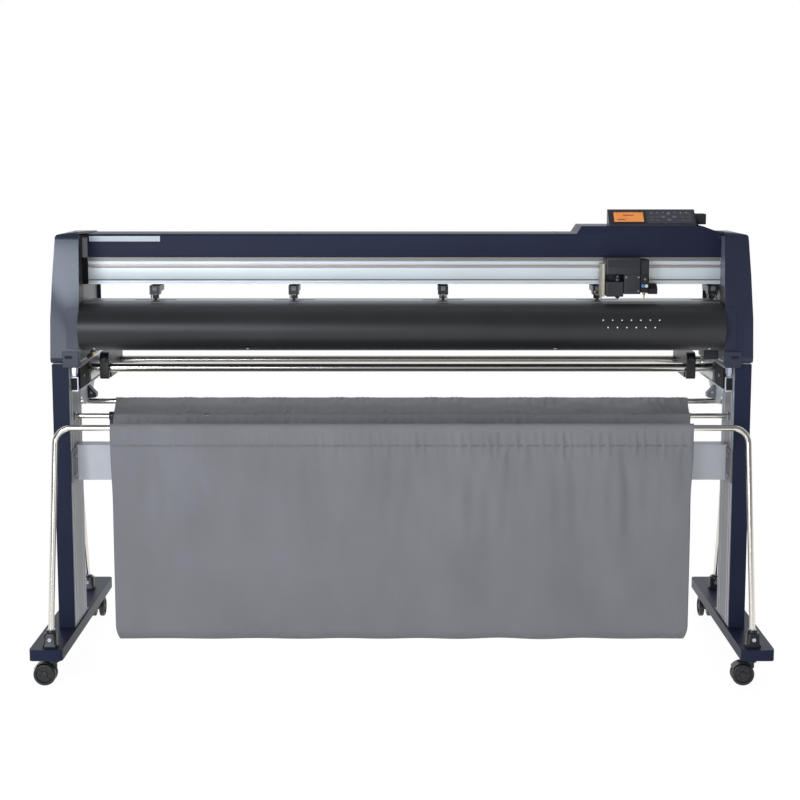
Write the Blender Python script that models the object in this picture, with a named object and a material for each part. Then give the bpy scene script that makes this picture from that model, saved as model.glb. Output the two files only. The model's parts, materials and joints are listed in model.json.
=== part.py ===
"""A vinyl cutter on its wheeled stand: a 54-inch class cutting plotter with a media basket below.

Metres, +Z up, X across the machine with +X at the control panel, -Y at the front. The origin is on
the floor, midway between the feet. Every moving piece has its object origin on its joint's axis.
"""

from math import cos, hypot, radians, sin, tan

import bmesh
import bpy
from mathutils import Matrix, Vector

# What is free between pieces
GAP = 0.0003  # between two pieces that rest on each other
RUN = 0.0006  # round a shaft that turns in its bore
SLIDE = 0.0008  # beside a face that slides past another

# How shapes are put together
LAP = 0.001  # two shapes that a Boolean joins overlap by this
OVER = 0.010  # a cutter reaches this far past what it cuts

# The stand
WIDTH = 1.962  # over the two feet
FOOT_LENGTH = 0.800
FOOT_WIDTH = 0.088
FOOT_HEIGHT = 0.030
FOOT_WALL = 0.003
FOOT_CORNER = 0.012
STAND_HEIGHT = 0.842  # floor to the underside of the head
SIDE_INSET = 0.038  # the feet stand out this far past the side covers
COLUMN_WIDTH = 0.041
COLUMN_FRONT = -0.1812
COLUMN_BACK = -0.005
COLUMN_WALL = 0.0025
COVER_WALL = 0.0032  # the painted covers of the columns
COVER_CORNER = 0.003
BEAM_FRONT = -0.100
BEAM_DEPTH = 0.060
BEAM_HEIGHT = 0.098
BEAM_WALL = 0.003
BEAM_DROP = 0.283  # head's underside to the beam's middle

# Casters
WHEEL_RADIUS = 0.030
WHEEL_WIDTH = 0.015
WHEEL_TRAIL = 0.021
AXLE_RADIUS = 0.004
WEB_WIDTH = 0.0095
SWIVEL_HEIGHT = 0.0215  # top of the wheels to the foot
STEM_RADIUS = 0.0055
STEM_DEPTH = 0.018
CASTER_INSET = 0.065  # from a foot's end
CASTER_SIDE = 0.051  # from a foot's outer edge
STEM_BOSS = 0.005  # wall round a stem's bore
SWIVEL_PLATE = (0.0015, 0.0065)  # low and high, over the tops of the wheels
SWIVEL_RADIUS = 0.017
NECK_RADIUS = 0.009
FORK_NOSE = 0.010  # the fork ahead of its stem
FORK_TAIL = 0.008  # the fork round its axle
TYRE_ROUND = 0.005
HUB_ROUND = 0.003

# The head
SIDE_WIDTH = 0.0765
SIDE_FRONT = -0.200
SIDE_LEAN = 0.044  # the top of the front is this far behind its bottom
SIDE_BACK = 0.170
SIDE_FALL = 0.010  # the top's back edge below its front one
SIDE_RISE = 0.0114  # the side covers' tops over the top cover's
SIDE_TAPER = (0.006, 0.0135)  # the outer face draws in by these, a third of the way down and at the top
SIDE_DROP = 0.009  # the top's outer edge below its inner one
SIDE_WALL = 0.003
SIDE_CORNERS = (0.014, 0.030, 0.050, 0.024)  # radii from the front bottom round to the front top
SIDE_EDGE = 0.008  # the outer edge's radius
PAD_WIDTH = 0.031
PAD_SPAN = (0.043, 0.152)  # bottom and top, over the head's underside
PAD_RISE = 0.002
PLATE = 0.0035  # the chassis's side plates
PLATE_DEPTH = 0.0105  # the plates are this far inside the side covers' inner edges
END_BLOCK = 0.0143  # the block that carries the rail's left end
PLATEN_HEIGHT = 0.1615  # head's underside to the platen's top
PLATEN_FRONT = -0.1205
PLATEN_FLAT_BACK = 0.022
PLATEN_WALL = 0.0025
PLATEN_BEND = 0.085
PLATEN_NOSE = 0.004
PLATEN_LIP = 0.012
MEDIA_GAP = 0.0445
RAIL_HEIGHT = 0.074
RAIL_FRONT = -0.050
RAIL_BACK = 0.030
RAIL_WALL = 0.004
GROOVE_HEIGHT = 0.014
GROOVE_DEPTH = 0.006
TOP_FRONT = -0.050
TOP_BACK = 0.120
TOP_HEIGHT = 0.063
TOP_WALL = 0.003
TOP_FRONT_ROUND = 0.006
TOP_BACK_ROUND = 0.004
RAISED_HEIGHT = 0.0215
RAISED_LEFT = 0.479
RAISED_RAMP = 0.014
RAISED_RIGHT = 0.825
RAISED_FALL = 0.015  # down to the side cover
TONGUE_DROP = 0.014  # the cover's right end, under the side cover, below its top
FRONT_OVERHANG = 0.015  # the front cover ahead of the side covers
FRONT_BULGE = 0.081
FRONT_HALF_HEIGHT = 0.0636
FRONT_DROP = 0.0015  # the front cover's top edge below the platen
FRONT_LIP = 0.010
FRONT_WALL = 0.0025
CHANNEL_FRONT = -0.112
CHANNEL_BACK = 0.050
CHANNEL_HEIGHT = 0.090
CHANNEL_WALL = 0.003
CHANNEL_DROP = 0.006  # below the grit drums

# Media drive
GRIT_RADIUS = 0.012
GRIT_ROD_RADIUS = 0.008
GRIT_LENGTH = 0.110
GRIT_Y = -0.030
GRIT_RISE = 0.0004  # the drums over the platen
GRIT_SLOT = 0.0095  # half the width of a drum's slot
DRUM_END = 0.004  # from a side plate
SHAFT_STICK = 0.004  # the drive shafts past the side plates
PINCH_RADIUS = 0.0065
PINCH_WIDTH = 0.008
PINCH_PLACES = (-0.681, -0.298, 0.114, 0.540, 0.8575)
HOLDER_WIDTH = 0.028
HOLDER_TOP_GAP = 0.0045
LIFT_Y = 0.046
LIFT_RADIUS = 0.006
LIFT_RISE = 0.008  # the lift shaft's axis over the rail's underside
LIFT_BOSS = 0.011
PINCH_PIN = 0.002
CHEEK = 0.003
ARM_LIFT = 0.0018  # the holder's arm over its roller
ARM_STEP = 0.007

# Carriage
CARRIAGE_LEFT = 0.553
CARRIAGE_WIDTH = 0.095
CARRIAGE_DEPTH = 0.070
CARRIAGE_TOP = 0.0027  # over the rail's top
CARRIAGE_DROP = 0.022  # below the rail's underside
TOOL_WIDTH = 0.046
TOOL_TRAVEL = 0.004
HOLDER_BORE = 0.0075
BLADE_Y = -0.088
BELT_RADIUS = 0.010
BELT_HEIGHT = 0.008
BELT_THICK = 0.0016
BELT_Y = -0.008
BELT_PLACE = 0.42  # of the rail's height
BELT_INSET = 0.020  # the left end's axis from the end block
BELT_WAY = 0.003  # round the belt, in the side plate
MOTOR_RADIUS = 0.020
MOTOR_LENGTH = 0.050
MOTOR_SPACE = 0.0025  # between the motor and the side plate
MOTOR_PIN = 0.003
CARRIAGE_PLATE = (0.0025, 0.016)  # back and front faces, ahead of the rail
CARRIAGE_SHOULDER = 0.032  # the full-width top half, over the rail's underside
CUTTER_BOX = (0.012, 0.030)  # the box on the carriage's left: width and depth
CUTTER_SPAN = (-0.031, 0.0595)
TOOL_SPAN = (-0.029, 0.012)
TOOL_SIDE = 0.0015  # the tool slide from the carriage's left face
BLADE_INSET = 0.012  # from the tool slide's right face
COLLAR_RADIUS = 0.0105
COLLAR_HEIGHT = 0.006
KNOB_RADIUS = 0.007
KNOB_HEIGHT = 0.015
TIP_GAP = 0.0015  # the blade's tip over the platen, with the slide down
TIP_STEPS = ((0.0, 0.0007), (0.0035, 0.0022), (0.0045, 0.0058))  # height over the tip, and radius
TIP_TAPER = 0.017

# Control panel and lever
PANEL_LEFT = 0.568
PANEL_WIDTH = 0.239
PANEL_LENGTH = 0.0606  # up its slope
PANEL_TILT = radians(40)
PANEL_LIP = 0.005
LCD_LEFT = 0.014  # from the panel's left edge
LCD_SIZE = (0.083, 0.042)
LCD_UP = 0.008  # up the slope
KEY_SIZE = (0.011, 0.009)
KEY_RISE = 0.0018
KEY_DEPTH = 0.004
KEY_GAP = 0.0004
KEY_ROUND = 0.0008
PANEL_BACK = 0.012  # flat behind the slope
PANEL_WALL = 0.0025
PANEL_ROUNDS = (0.003, 0.010, 0.002)
LCD_DEPTH = 0.0015
PAD_LEFT = 0.166
PAD_UP = 0.029
PAD_REACH = (0.015, 0.012)
LEVER_WIDTH = 0.029
LEVER_LENGTH = 0.078
LEVER_HEIGHT = 0.029
LEVER_Y = 0.052
LEVER_SIDE_GAP = 0.003  # from the panel's right edge
EAR = 0.004
EAR_DEPTH = 0.0065
EAR_HEIGHT = 0.0165
LEVER_RISE = 0.010  # the lever's axis over the cover
LEVER_PIN = 0.003
LEVER_ROUND = 0.0085
LEVER_FLOAT = 0.0032  # the lever's underside over the cover

# Media supports behind the stand
SHAFT_RADIUS = 0.0125
SHAFT_DROP = 0.037  # head's underside to the shafts' axes
SHAFT_YS = (0.050, 0.240)
SHAFT_END = 0.001  # from a bracket's flanges
JOURNAL_RADIUS = 0.006
BRACKET_WALL = 0.003
BRACKET_FRONT = -0.150
BRACKET_BACK = 0.270
BRACKET_TOP = 0.014  # below the head's underside
BRACKET_HEIGHT = 0.066
BRACKET_FLANGE = 0.0185
HOOK_FRONT = -0.020
HOOK_BACK = 0.195
HOOK_SLOPES = (0.050, 0.075)  # the hook plate's sloping ends, front and back
HOOK_SHOULDERS = (0.020, 0.010)
STOPPER_WIDTH = 0.026
STOPPER_PLACES = {"left": 0.837, "right": 0.814}  # from the middle, as they stand
STOPPER_TOP = 0.045
STOPPER_BOTTOM = 0.030
STOPPER_REACH = 0.028  # past the shafts' axes, front and back
STOPPER_ROUNDS = (0.008, 0.020)

# Basket
PIPE_RADIUS = 0.008
ROD_RADIUS = 0.007
BASKET_FRONT_Y = -0.300
BASKET_FRONT_DROP = 0.155
BASKET_MID_Y = -0.106
BASKET_MID_DROP = 0.152
BASKET_REAR_Y = 0.090
BASKET_REAR_DROP = 0.139
FRONT_SOCKET_INSET = 0.040  # from a foot's front end
REAR_SOCKET_INSET = 0.140  # from a foot's rear end
FRONT_PIPE_SPREAD = (0.013, 0.029)  # inside the side covers' outer faces, at its feet and at its bar
REAR_PIPE_SPREAD = (0.0015, 0.0055)
FRONT_PIPE_BEND = 0.042
REAR_PIPE_BEND = 0.030
PIPE_FLOAT = 0.004  # the pipes' ends over the feet
SOCKET_SIZE = (0.040, 0.034)
SOCKET_HEIGHT = 0.045
SOCKET_ROUND = 0.002
CLOTH_HALF_WIDTH = 0.771  # at the front bar
CLOTH_FLARE = 0.118  # how fast it widens towards the back
CLOTH_WALL = 0.003
CLOTH_BOTTOM = 0.108
CLOTH_FOLD = 0.036  # the radius of the bag's bottom
CLOTH_LAP = 60  # degrees the sleeves close past the bars' undersides

# Worked out from the sizes above
SIDES = {"left": -1, "right": 1}
FOOT_BOTTOM = 2 * WHEEL_RADIUS + SWIVEL_HEIGHT
FOOT_TOP = FOOT_BOTTOM + FOOT_HEIGHT
OUTER = WIDTH / 2 - SIDE_INSET  # the side covers' outer faces
BAY = OUTER - SIDE_WIDTH  # the side covers' open inner edges
CLEAR = BAY + PLATE_DEPTH  # half the clear width between the side plates
RAIL_SPAN = (END_BLOCK + GAP - CLEAR, CLEAR - GAP)
COLUMN_IN = OUTER - COVER_WALL - GAP - COLUMN_WIDTH
COLUMN_OUT = COLUMN_IN + COLUMN_WIDTH
HEAD = STAND_HEIGHT
PLATEN_TOP = HEAD + PLATEN_HEIGHT
RAIL_BOTTOM = PLATEN_TOP + MEDIA_GAP
RAIL_TOP = RAIL_BOTTOM + RAIL_HEIGHT
TOP_BOTTOM = RAIL_TOP + 2 * GAP
TOP_TOP = TOP_BOTTOM + TOP_HEIGHT
RAISED_TOP = TOP_TOP + RAISED_HEIGHT
SIDE_BOTTOM = HEAD + PLATE + GAP
SIDE_TOP = TOP_TOP + SIDE_RISE
GROOVE_Z = RAIL_TOP - 0.020
GRIT_Z = PLATEN_TOP + GRIT_RISE - GRIT_RADIUS
PINCH_Z = GRIT_Z + GRIT_RADIUS + GAP + PINCH_RADIUS
LIFT_Z = RAIL_BOTTOM + LIFT_RISE
SHAFT_Z = HEAD - SHAFT_DROP
BELT_Z = RAIL_BOTTOM + RAIL_HEIGHT * BELT_PLACE
BRACKET_WEB = COLUMN_IN - GAP - BRACKET_WALL
FRONT_BAR = (BASKET_FRONT_Y, HEAD - BASKET_FRONT_DROP)
MID_BAR = (BASKET_MID_Y, HEAD - BASKET_MID_DROP)
REAR_BAR = (BASKET_REAR_Y, HEAD - BASKET_REAR_DROP)
FRONT_SOCKET_Y = FRONT_SOCKET_INSET - FOOT_LENGTH / 2
REAR_SOCKET_Y = FOOT_LENGTH / 2 - REAR_SOCKET_INSET
CARRIAGE_X = CARRIAGE_LEFT + CARRIAGE_WIDTH / 2
MOTOR_X = CLEAR + PLATE + MOTOR_SPACE + MOTOR_RADIUS
LEVER_X = PANEL_LEFT + PANEL_WIDTH + LEVER_SIDE_GAP + LEVER_WIDTH / 2


def clear_scene():
    for old in list(bpy.data.objects):
        bpy.data.objects.remove(old, do_unlink=True)


def material(name, colour, roughness, metallic=0.0):
    made = bpy.data.materials.new(name)
    made.use_nodes = True
    shader = made.node_tree.nodes["Principled BSDF"]
    shader.inputs["Base Color"].default_value = (*colour, 1.0)
    shader.inputs["Roughness"].default_value = roughness
    shader.inputs["Metallic"].default_value = metallic
    made.diffuse_color = (*colour, 1.0)
    return made


clear_scene()
NAVY = material("navy_paint", (0.055, 0.070, 0.150), 0.45)
NAVY_PLASTIC = material("navy_plastic", (0.055, 0.070, 0.150), 0.50)
STEEL_PAINT = material("grey_paint", (0.33, 0.34, 0.36), 0.50)
PALE_PAINT = material("pale_paint", (0.66, 0.68, 0.71), 0.45)
BLACK_PLASTIC = material("black_plastic", (0.022, 0.022, 0.025), 0.45)
BLACK_COVER = material("black_cover", (0.030, 0.030, 0.033), 0.38)
CHARCOAL = material("charcoal_plastic", (0.045, 0.045, 0.050), 0.50)
ALUMINIUM = material("aluminium", (0.60, 0.63, 0.68), 0.30, 1.0)
STAINLESS = material("stainless_steel", (0.66, 0.64, 0.60), 0.22, 1.0)
STEEL = material("bright_steel", (0.55, 0.55, 0.56), 0.30, 1.0)
GRIT = material("grit_steel", (0.30, 0.30, 0.30), 0.75, 0.8)
RUBBER = material("pinch_rubber", (0.10, 0.10, 0.10), 0.80)
TYRE = material("wheel_nylon", (0.018, 0.018, 0.020), 0.50)
FABRIC = material("basket_fabric", (0.20, 0.20, 0.22), 0.90)
LCD = material("lcd_orange", (0.80, 0.26, 0.03), 0.20)
KEY = material("key_plastic", (0.30, 0.31, 0.33), 0.55)
BRASS = material("holder_metal", (0.35, 0.36, 0.40), 0.35, 0.9)


# Outlines: lists of 2-D points


def bend(corner, back, ahead, radius, steps):
    """Points of the arc that rounds a corner between the directions to the points before and after it."""
    back, ahead = Vector(back) - Vector(corner), Vector(ahead) - Vector(corner)
    half = back.angle(ahead) / 2
    reach = min(radius / tan(half), 0.49 * back.length, 0.49 * ahead.length)
    back, ahead = back.normalized(), ahead.normalized()
    centre = Vector(corner) + (back + ahead).normalized() * reach / cos(half)
    start = Vector(corner) + back * reach - centre
    end = Vector(corner) + ahead * reach - centre
    sweep = start.angle(end)
    side = (end - start * cos(sweep)) / sin(sweep)
    turns = [sweep * step / steps for step in range(steps + 1)]
    return [tuple(centre + start * cos(a) + side * sin(a)) for a in turns]


def fillet(points, radius, steps=4):
    """A polygon with each corner rounded. One radius serves all corners, or a list gives each its own."""
    radii = radius if isinstance(radius, (list, tuple)) else [radius] * len(points)
    rounded = []
    for i, size in enumerate(radii):
        after = points[(i + 1) % len(points)]
        rounded += bend(points[i], points[i - 1], after, size, steps) if size else [points[i]]
    return rounded


def arc(centre, radius, start, end, steps):
    """Points round a circle or, with a pair of radii, an ellipse. Angles in degrees."""
    across, up = radius if isinstance(radius, tuple) else (radius, radius)
    angles = [radians(start + (end - start) * i / steps) for i in range(steps + 1)]
    return [(centre[0] + across * cos(a), centre[1] + up * sin(a)) for a in angles]


def strip(path, thickness):
    """The outline of a sheet of this thickness that lies to the left of an open path."""
    offset = []
    for i, (x, y) in enumerate(path):
        before = path[max(i - 1, 0)]
        after = path[min(i + 1, len(path) - 1)]
        length = hypot(after[0] - before[0], after[1] - before[1])
        offset.append(
            (x - (after[1] - before[1]) / length * thickness, y + (after[0] - before[0]) / length * thickness)
        )
    return list(path) + offset[::-1]


def rectangle(x0, x1, y0, y1):
    return [(x0, y0), (x1, y0), (x1, y1), (x0, y1)]


# Shapes: bmeshes that objects are made from

AXES = {"X": (1, 2, 0), "Y": (0, 2, 1), "Z": (0, 1, 2)}


def prism(outline, axis, start, end):
    """An outline extruded along X (the outline is y, z), Y (x, z) or Z (x, y)."""
    first, second, along = AXES[axis]
    shape = bmesh.new()
    corners = []
    for across, up in outline:
        point = [0.0, 0.0, 0.0]
        point[first], point[second], point[along] = across, up, start
        corners.append(shape.verts.new(point))
    face = shape.faces.new(corners)
    pulled = bmesh.ops.extrude_face_region(shape, geom=[face])
    shift = Vector((0.0, 0.0, 0.0))
    shift[along] = end - start
    ends = [item for item in pulled["geom"] if isinstance(item, bmesh.types.BMVert)]
    bmesh.ops.translate(shape, verts=ends, vec=shift)
    bmesh.ops.recalc_face_normals(shape, faces=shape.faces)
    return shape


def box(x, y, z, radius=0.0, segments=2):
    """A box from three (low, high) pairs, its edges rounded by the radius."""
    shape = bmesh.new()
    bmesh.ops.create_cube(shape, size=1.0)
    size = [abs(pair[1] - pair[0]) for pair in (x, y, z)]
    middle = [(pair[0] + pair[1]) / 2 for pair in (x, y, z)]
    bmesh.ops.scale(shape, vec=size, verts=shape.verts)
    bmesh.ops.translate(shape, vec=middle, verts=shape.verts)
    if radius:
        bmesh.ops.bevel(
            shape, geom=shape.edges[:], offset=radius, segments=segments, profile=0.5, affect="EDGES"
        )
    return shape


def turned(profile, axis, centre=(0.0, 0.0, 0.0), sides=24):
    """A solid of revolution. The profile lists (place along the axis, radius), ends at radius 0 left out."""
    outline = []
    for place, size in profile:
        ring = arc((0.0, 0.0), size, 0, 360 - 360 / sides, sides - 1)
        outline.append([(place, a, b) for a, b in ring])
    order = {"X": (0, 1, 2), "Y": (1, 0, 2), "Z": (1, 2, 0)}[axis]
    shape = bmesh.new()
    rings = [
        [shape.verts.new([point[k] + centre[i] for i, k in enumerate(order)]) for point in ring]
        for ring in outline
    ]
    for lower, upper in zip(rings, rings[1:]):
        for i in range(sides):
            j = (i + 1) % sides
            shape.faces.new((lower[i], lower[j], upper[j], upper[i]))
    shape.faces.new(rings[0])
    shape.faces.new(rings[-1])
    bmesh.ops.recalc_face_normals(shape, faces=shape.faces)
    return shape


def rod(axis, start, end, radius, centre=(0.0, 0.0, 0.0), sides=24):
    return turned([(start, radius), (end, radius)], axis, centre, sides)


# Objects


def solid(name, shape, surface, origin=(0.0, 0.0, 0.0), parent=None, tilt=0.0, hidden=False):
    """One object from a shape that is given relative to its origin."""
    mesh = bpy.data.meshes.new(name)
    shape.to_mesh(mesh)
    shape.free()
    mesh.materials.append(surface)
    mesh.shade_smooth()
    mesh.set_sharp_from_angle(angle=radians(32))
    made = bpy.data.objects.new(name, mesh)
    bpy.context.scene.collection.objects.link(made)
    made.location = origin
    made.rotation_euler = (tilt, 0.0, 0.0)
    if parent:
        made.parent = parent
        made.matrix_parent_inverse = Matrix.Translation(-parent.location)
    if hidden:
        made.hide_render = True
        made.display_type = "WIRE"
    return made


def combine(target, operation, *shapes):
    """Boolean modifiers that join shapes to an object or cut them out of it. They are given as its mesh is."""
    for shape in shapes:
        number = len(target.modifiers) + 1
        helper = solid(
            f"{target.name}_tool_{number}", shape, target.data.materials[0], target.location, hidden=True
        )
        helper.rotation_euler = target.rotation_euler
        helper.parent = target.parent
        helper.matrix_parent_inverse = target.matrix_parent_inverse
        modifier = target.modifiers.new(f"{operation.lower()}_{number}", "BOOLEAN")
        modifier.operation = operation
        modifier.solver = "EXACT"
        modifier.object = helper


def join(target, *shapes):
    combine(target, "UNION", *shapes)


def cut(target, *shapes):
    combine(target, "DIFFERENCE", *shapes)


def span(side, low, high):
    """The X range of something between two distances from the middle, on this side."""
    return tuple(sorted((side * low, side * high)))


def pipe(name, path, radius, surface):
    """A round pipe along a list of points."""
    curve = bpy.data.curves.new(name, "CURVE")
    curve.dimensions = "3D"
    curve.bevel_depth = radius
    curve.bevel_resolution = 4
    curve.use_fill_caps = True
    spline = curve.splines.new("POLY")
    spline.points.add(len(path) - 1)
    for point, place in zip(spline.points, path):
        point.co = (*place, 1.0)
    spline.use_smooth = True
    curve.materials.append(surface)
    made = bpy.data.objects.new(name, curve)
    bpy.context.scene.collection.objects.link(made)
    return made


def aimed_rod(start, end, radius, sides=24):
    """A cylinder between two points."""
    along = Vector(end) - Vector(start)
    shape = rod("Z", 0.0, along.length, radius, sides=sides)
    bmesh.ops.rotate(shape, verts=shape.verts, matrix=Vector((0, 0, 1)).rotation_difference(along).to_matrix())
    bmesh.ops.translate(shape, verts=shape.verts, vec=start)
    return shape


def tilted(shape):
    """The shape turned from flat onto the control panel's slope."""
    bmesh.ops.rotate(shape, verts=shape.verts, matrix=Matrix.Rotation(PANEL_TILT, 3, "X"))
    return shape


# The stand


def foot(name, side):
    outer = span(side, WIDTH / 2 - FOOT_WIDTH, WIDTH / 2)
    plan = fillet(rectangle(*outer, -FOOT_LENGTH / 2, FOOT_LENGTH / 2), FOOT_CORNER)
    made = solid(f"{name}_foot", prism(plan, "Z", FOOT_BOTTOM, FOOT_TOP), NAVY)
    inner = rectangle(
        outer[0] + FOOT_WALL, outer[1] - FOOT_WALL, FOOT_WALL - FOOT_LENGTH / 2, FOOT_LENGTH / 2 - FOOT_WALL
    )
    hollow = fillet(inner, FOOT_CORNER - FOOT_WALL)
    cut(made, prism(hollow, "Z", FOOT_BOTTOM - OVER, FOOT_TOP - FOOT_WALL))
    bore = STEM_RADIUS + RUN
    for x, y in caster_places(side):
        boss_top = FOOT_TOP - FOOT_WALL + LAP
        join(made, rod("Z", FOOT_BOTTOM + LAP, boss_top, bore + STEM_BOSS, (x, y, 0.0)))
        cut(made, rod("Z", FOOT_BOTTOM - OVER, FOOT_BOTTOM + STEM_DEPTH + 2 * LAP, bore, (x, y, 0.0)))


def caster_places(side):
    reach = FOOT_LENGTH / 2 - CASTER_INSET
    return [(side * (WIDTH / 2 - CASTER_SIDE), y) for y in (-reach, reach)]


def caster(name, place, trail_axis, trail_way):
    """A swivelling fork with twin wheels that trail along +-X or +-Y."""
    low, high = (level - SWIVEL_HEIGHT for level in SWIVEL_PLATE)
    profile = [(low, SWIVEL_RADIUS), (high, SWIVEL_RADIUS), (high, NECK_RADIUS), (-GAP, NECK_RADIUS)]
    profile += [(-GAP, STEM_RADIUS), (STEM_DEPTH, STEM_RADIUS)]
    stem = solid(f"caster_fork_{name}", turned(profile, "Z"), BLACK_PLASTIC, (*place, FOOT_BOTTOM))
    axle_z = WHEEL_RADIUS - FOOT_BOTTOM
    shoulder = (low + high) / 2
    side_view = [
        (-FORK_NOSE, shoulder),
        (FORK_NOSE, shoulder),
        (WHEEL_TRAIL + FORK_TAIL, axle_z + FORK_TAIL),
        (WHEEL_TRAIL + FORK_TAIL / 2, axle_z - FORK_TAIL),
        (WHEEL_TRAIL - FORK_TAIL, axle_z - FORK_TAIL),
        (-FORK_NOSE, axle_z + 2 * FORK_TAIL),
    ]
    outline = [(trail_way * along, up) for along, up in side_view]
    axle_axis = "Y" if trail_axis == "X" else "X"
    join(stem, prism(outline, axle_axis, -WEB_WIDTH / 2, WEB_WIDTH / 2))
    shift = trail_way * WHEEL_TRAIL
    axle = (shift, 0.0, axle_z) if trail_axis == "X" else (0.0, shift, axle_z)
    cut(stem, rod(axle_axis, -OVER, OVER, AXLE_RADIUS + RUN, axle, 16))
    near = WEB_WIDTH / 2 + SLIDE
    far = near + WHEEL_WIDTH
    half = [(near, AXLE_RADIUS), (near, WHEEL_RADIUS - HUB_ROUND), (near + HUB_ROUND, WHEEL_RADIUS)]
    half += [(far - TYRE_ROUND, WHEEL_RADIUS), (far, WHEEL_RADIUS - TYRE_ROUND)]
    profile = [(-at, size) for at, size in reversed(half)] + half
    centre = (place[0] + axle[0], place[1] + axle[1], WHEEL_RADIUS)
    solid(f"caster_wheels_{name}", turned(profile, axle_axis, sides=28), TYRE, centre, stem)


def casters():
    for side_name, side in SIDES.items():
        front, rear = caster_places(side)
        caster(f"front_{side_name}", front, "X", -1)
        caster(f"rear_{side_name}", rear, "Y", 1)


def column(name, side):
    low, high = FOOT_TOP + GAP, HEAD - GAP
    across = span(side, COLUMN_IN, COLUMN_OUT)
    made = solid(f"{name}_column", box(across, (COLUMN_FRONT, COLUMN_BACK), (low, high)), STEEL_PAINT)
    inside = (across[0] + COLUMN_WALL, across[1] - COLUMN_WALL)
    depth = (COLUMN_FRONT + COLUMN_WALL, COLUMN_BACK - COLUMN_WALL)
    cut(made, box(inside, depth, (low - OVER, high + OVER)))

    front = COLUMN_FRONT - GAP - COVER_WALL
    angle = [
        (COLUMN_IN, front),
        (OUTER, front),
        (OUTER, COLUMN_BACK),
        (OUTER - COVER_WALL, COLUMN_BACK),
        (OUTER - COVER_WALL, front + COVER_WALL),
        (COLUMN_IN, front + COVER_WALL),
    ]
    plan = fillet([(side * x, y) for x, y in angle], [0.0, COVER_CORNER, 0.0, 0.0, 0.0, 0.0])
    solid(f"{name}_column_cover", prism(plan, "Z", low, high), NAVY)


def cross_beam():
    middle = HEAD - BEAM_DROP
    low, high = middle - BEAM_HEIGHT / 2, middle + BEAM_HEIGHT / 2
    back = BEAM_FRONT + BEAM_DEPTH
    outline = [
        (BEAM_FRONT, low),
        (back, low),
        (back, low + BEAM_WALL),
        (BEAM_FRONT + BEAM_WALL, low + BEAM_WALL),
        (BEAM_FRONT + BEAM_WALL, high - BEAM_WALL),
        (back, high - BEAM_WALL),
        (back, high),
        (BEAM_FRONT, high),
    ]
    reach = COLUMN_IN - GAP
    solid("cross_beam", prism(outline, "X", -reach, reach), PALE_PAINT)


# The head's frame and covers


def side_outline(inset, top=SIDE_TOP, bottom=SIDE_BOTTOM):
    """The side covers' profile, in y and z, stepped in all round."""
    corners = [
        (SIDE_FRONT + inset, bottom + inset),
        (SIDE_BACK - inset, bottom + inset),
        (SIDE_BACK - inset, top - SIDE_FALL - inset),
        (SIDE_FRONT + SIDE_LEAN + inset, top - inset),
    ]
    return fillet(corners, [radius - inset for radius in SIDE_CORNERS], 5)


def side_section(inset, inner):
    """A side cover as the front shows it, in x and z: its outer face draws in and its top falls outwards."""
    outer, top, bottom = OUTER - inset, SIDE_TOP - inset, SIDE_BOTTOM - LAP
    shoulder, edge = SIDE_TAPER
    third = (SIDE_TOP - HEAD) / 3
    corners = [
        (inner, bottom),
        (outer, bottom),
        (outer, bottom + third),
        (outer - shoulder, bottom + 2 * third),
        (outer - edge, top - SIDE_DROP),
        (inner, top + LAP),
    ]
    return fillet(corners, [0.0, 0.0, third, third, SIDE_EDGE - inset, 0.0])


def side_face(height):
    """Where a side cover's front is at this height."""
    return SIDE_FRONT + SIDE_LEAN * (height - SIDE_BOTTOM) / (SIDE_TOP - SIDE_BOTTOM)


def side_body(name, side, inset, inner, hidden=False):
    made = solid(name, prism(side_outline(inset), "X", side * inner, side * OUTER), NAVY_PLASTIC, hidden=hidden)
    section = [(side * x, z) for x, z in side_section(inset, inner - OVER)]
    combine(made, "INTERSECT", prism(section, "Y", SIDE_FRONT - OVER, SIDE_BACK + OVER))
    return made


def side_cover(name, side):
    made = side_body(f"{name}_side_cover", side, 0.0, BAY)
    hollow = made.modifiers.new("hollow", "BOOLEAN")
    hollow.operation, hollow.solver = "DIFFERENCE", "EXACT"
    hollow.object = side_body(f"{name}_side_core", side, SIDE_WALL, BAY - OVER, hidden=True)
    way = span(side, BAY - OVER, CLEAR + PLATE + GAP)
    floor = (SIDE_BOTTOM - OVER, SIDE_BOTTOM + SIDE_WALL + LAP)
    cut(made, box(way, (COLUMN_FRONT - GAP, COLUMN_BACK + GAP), floor))
    low, high = HEAD + PAD_SPAN[0], HEAD + PAD_SPAN[1]
    slab = [(side_face(low) - PAD_RISE, low), (side_face(low) + PAD_RISE, low)]
    slab += [(side_face(high) + PAD_RISE, high), (side_face(high) - PAD_RISE, high)]
    join(made, prism(slab, "X", side * BAY, side * (BAY + PAD_WIDTH)))


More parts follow.
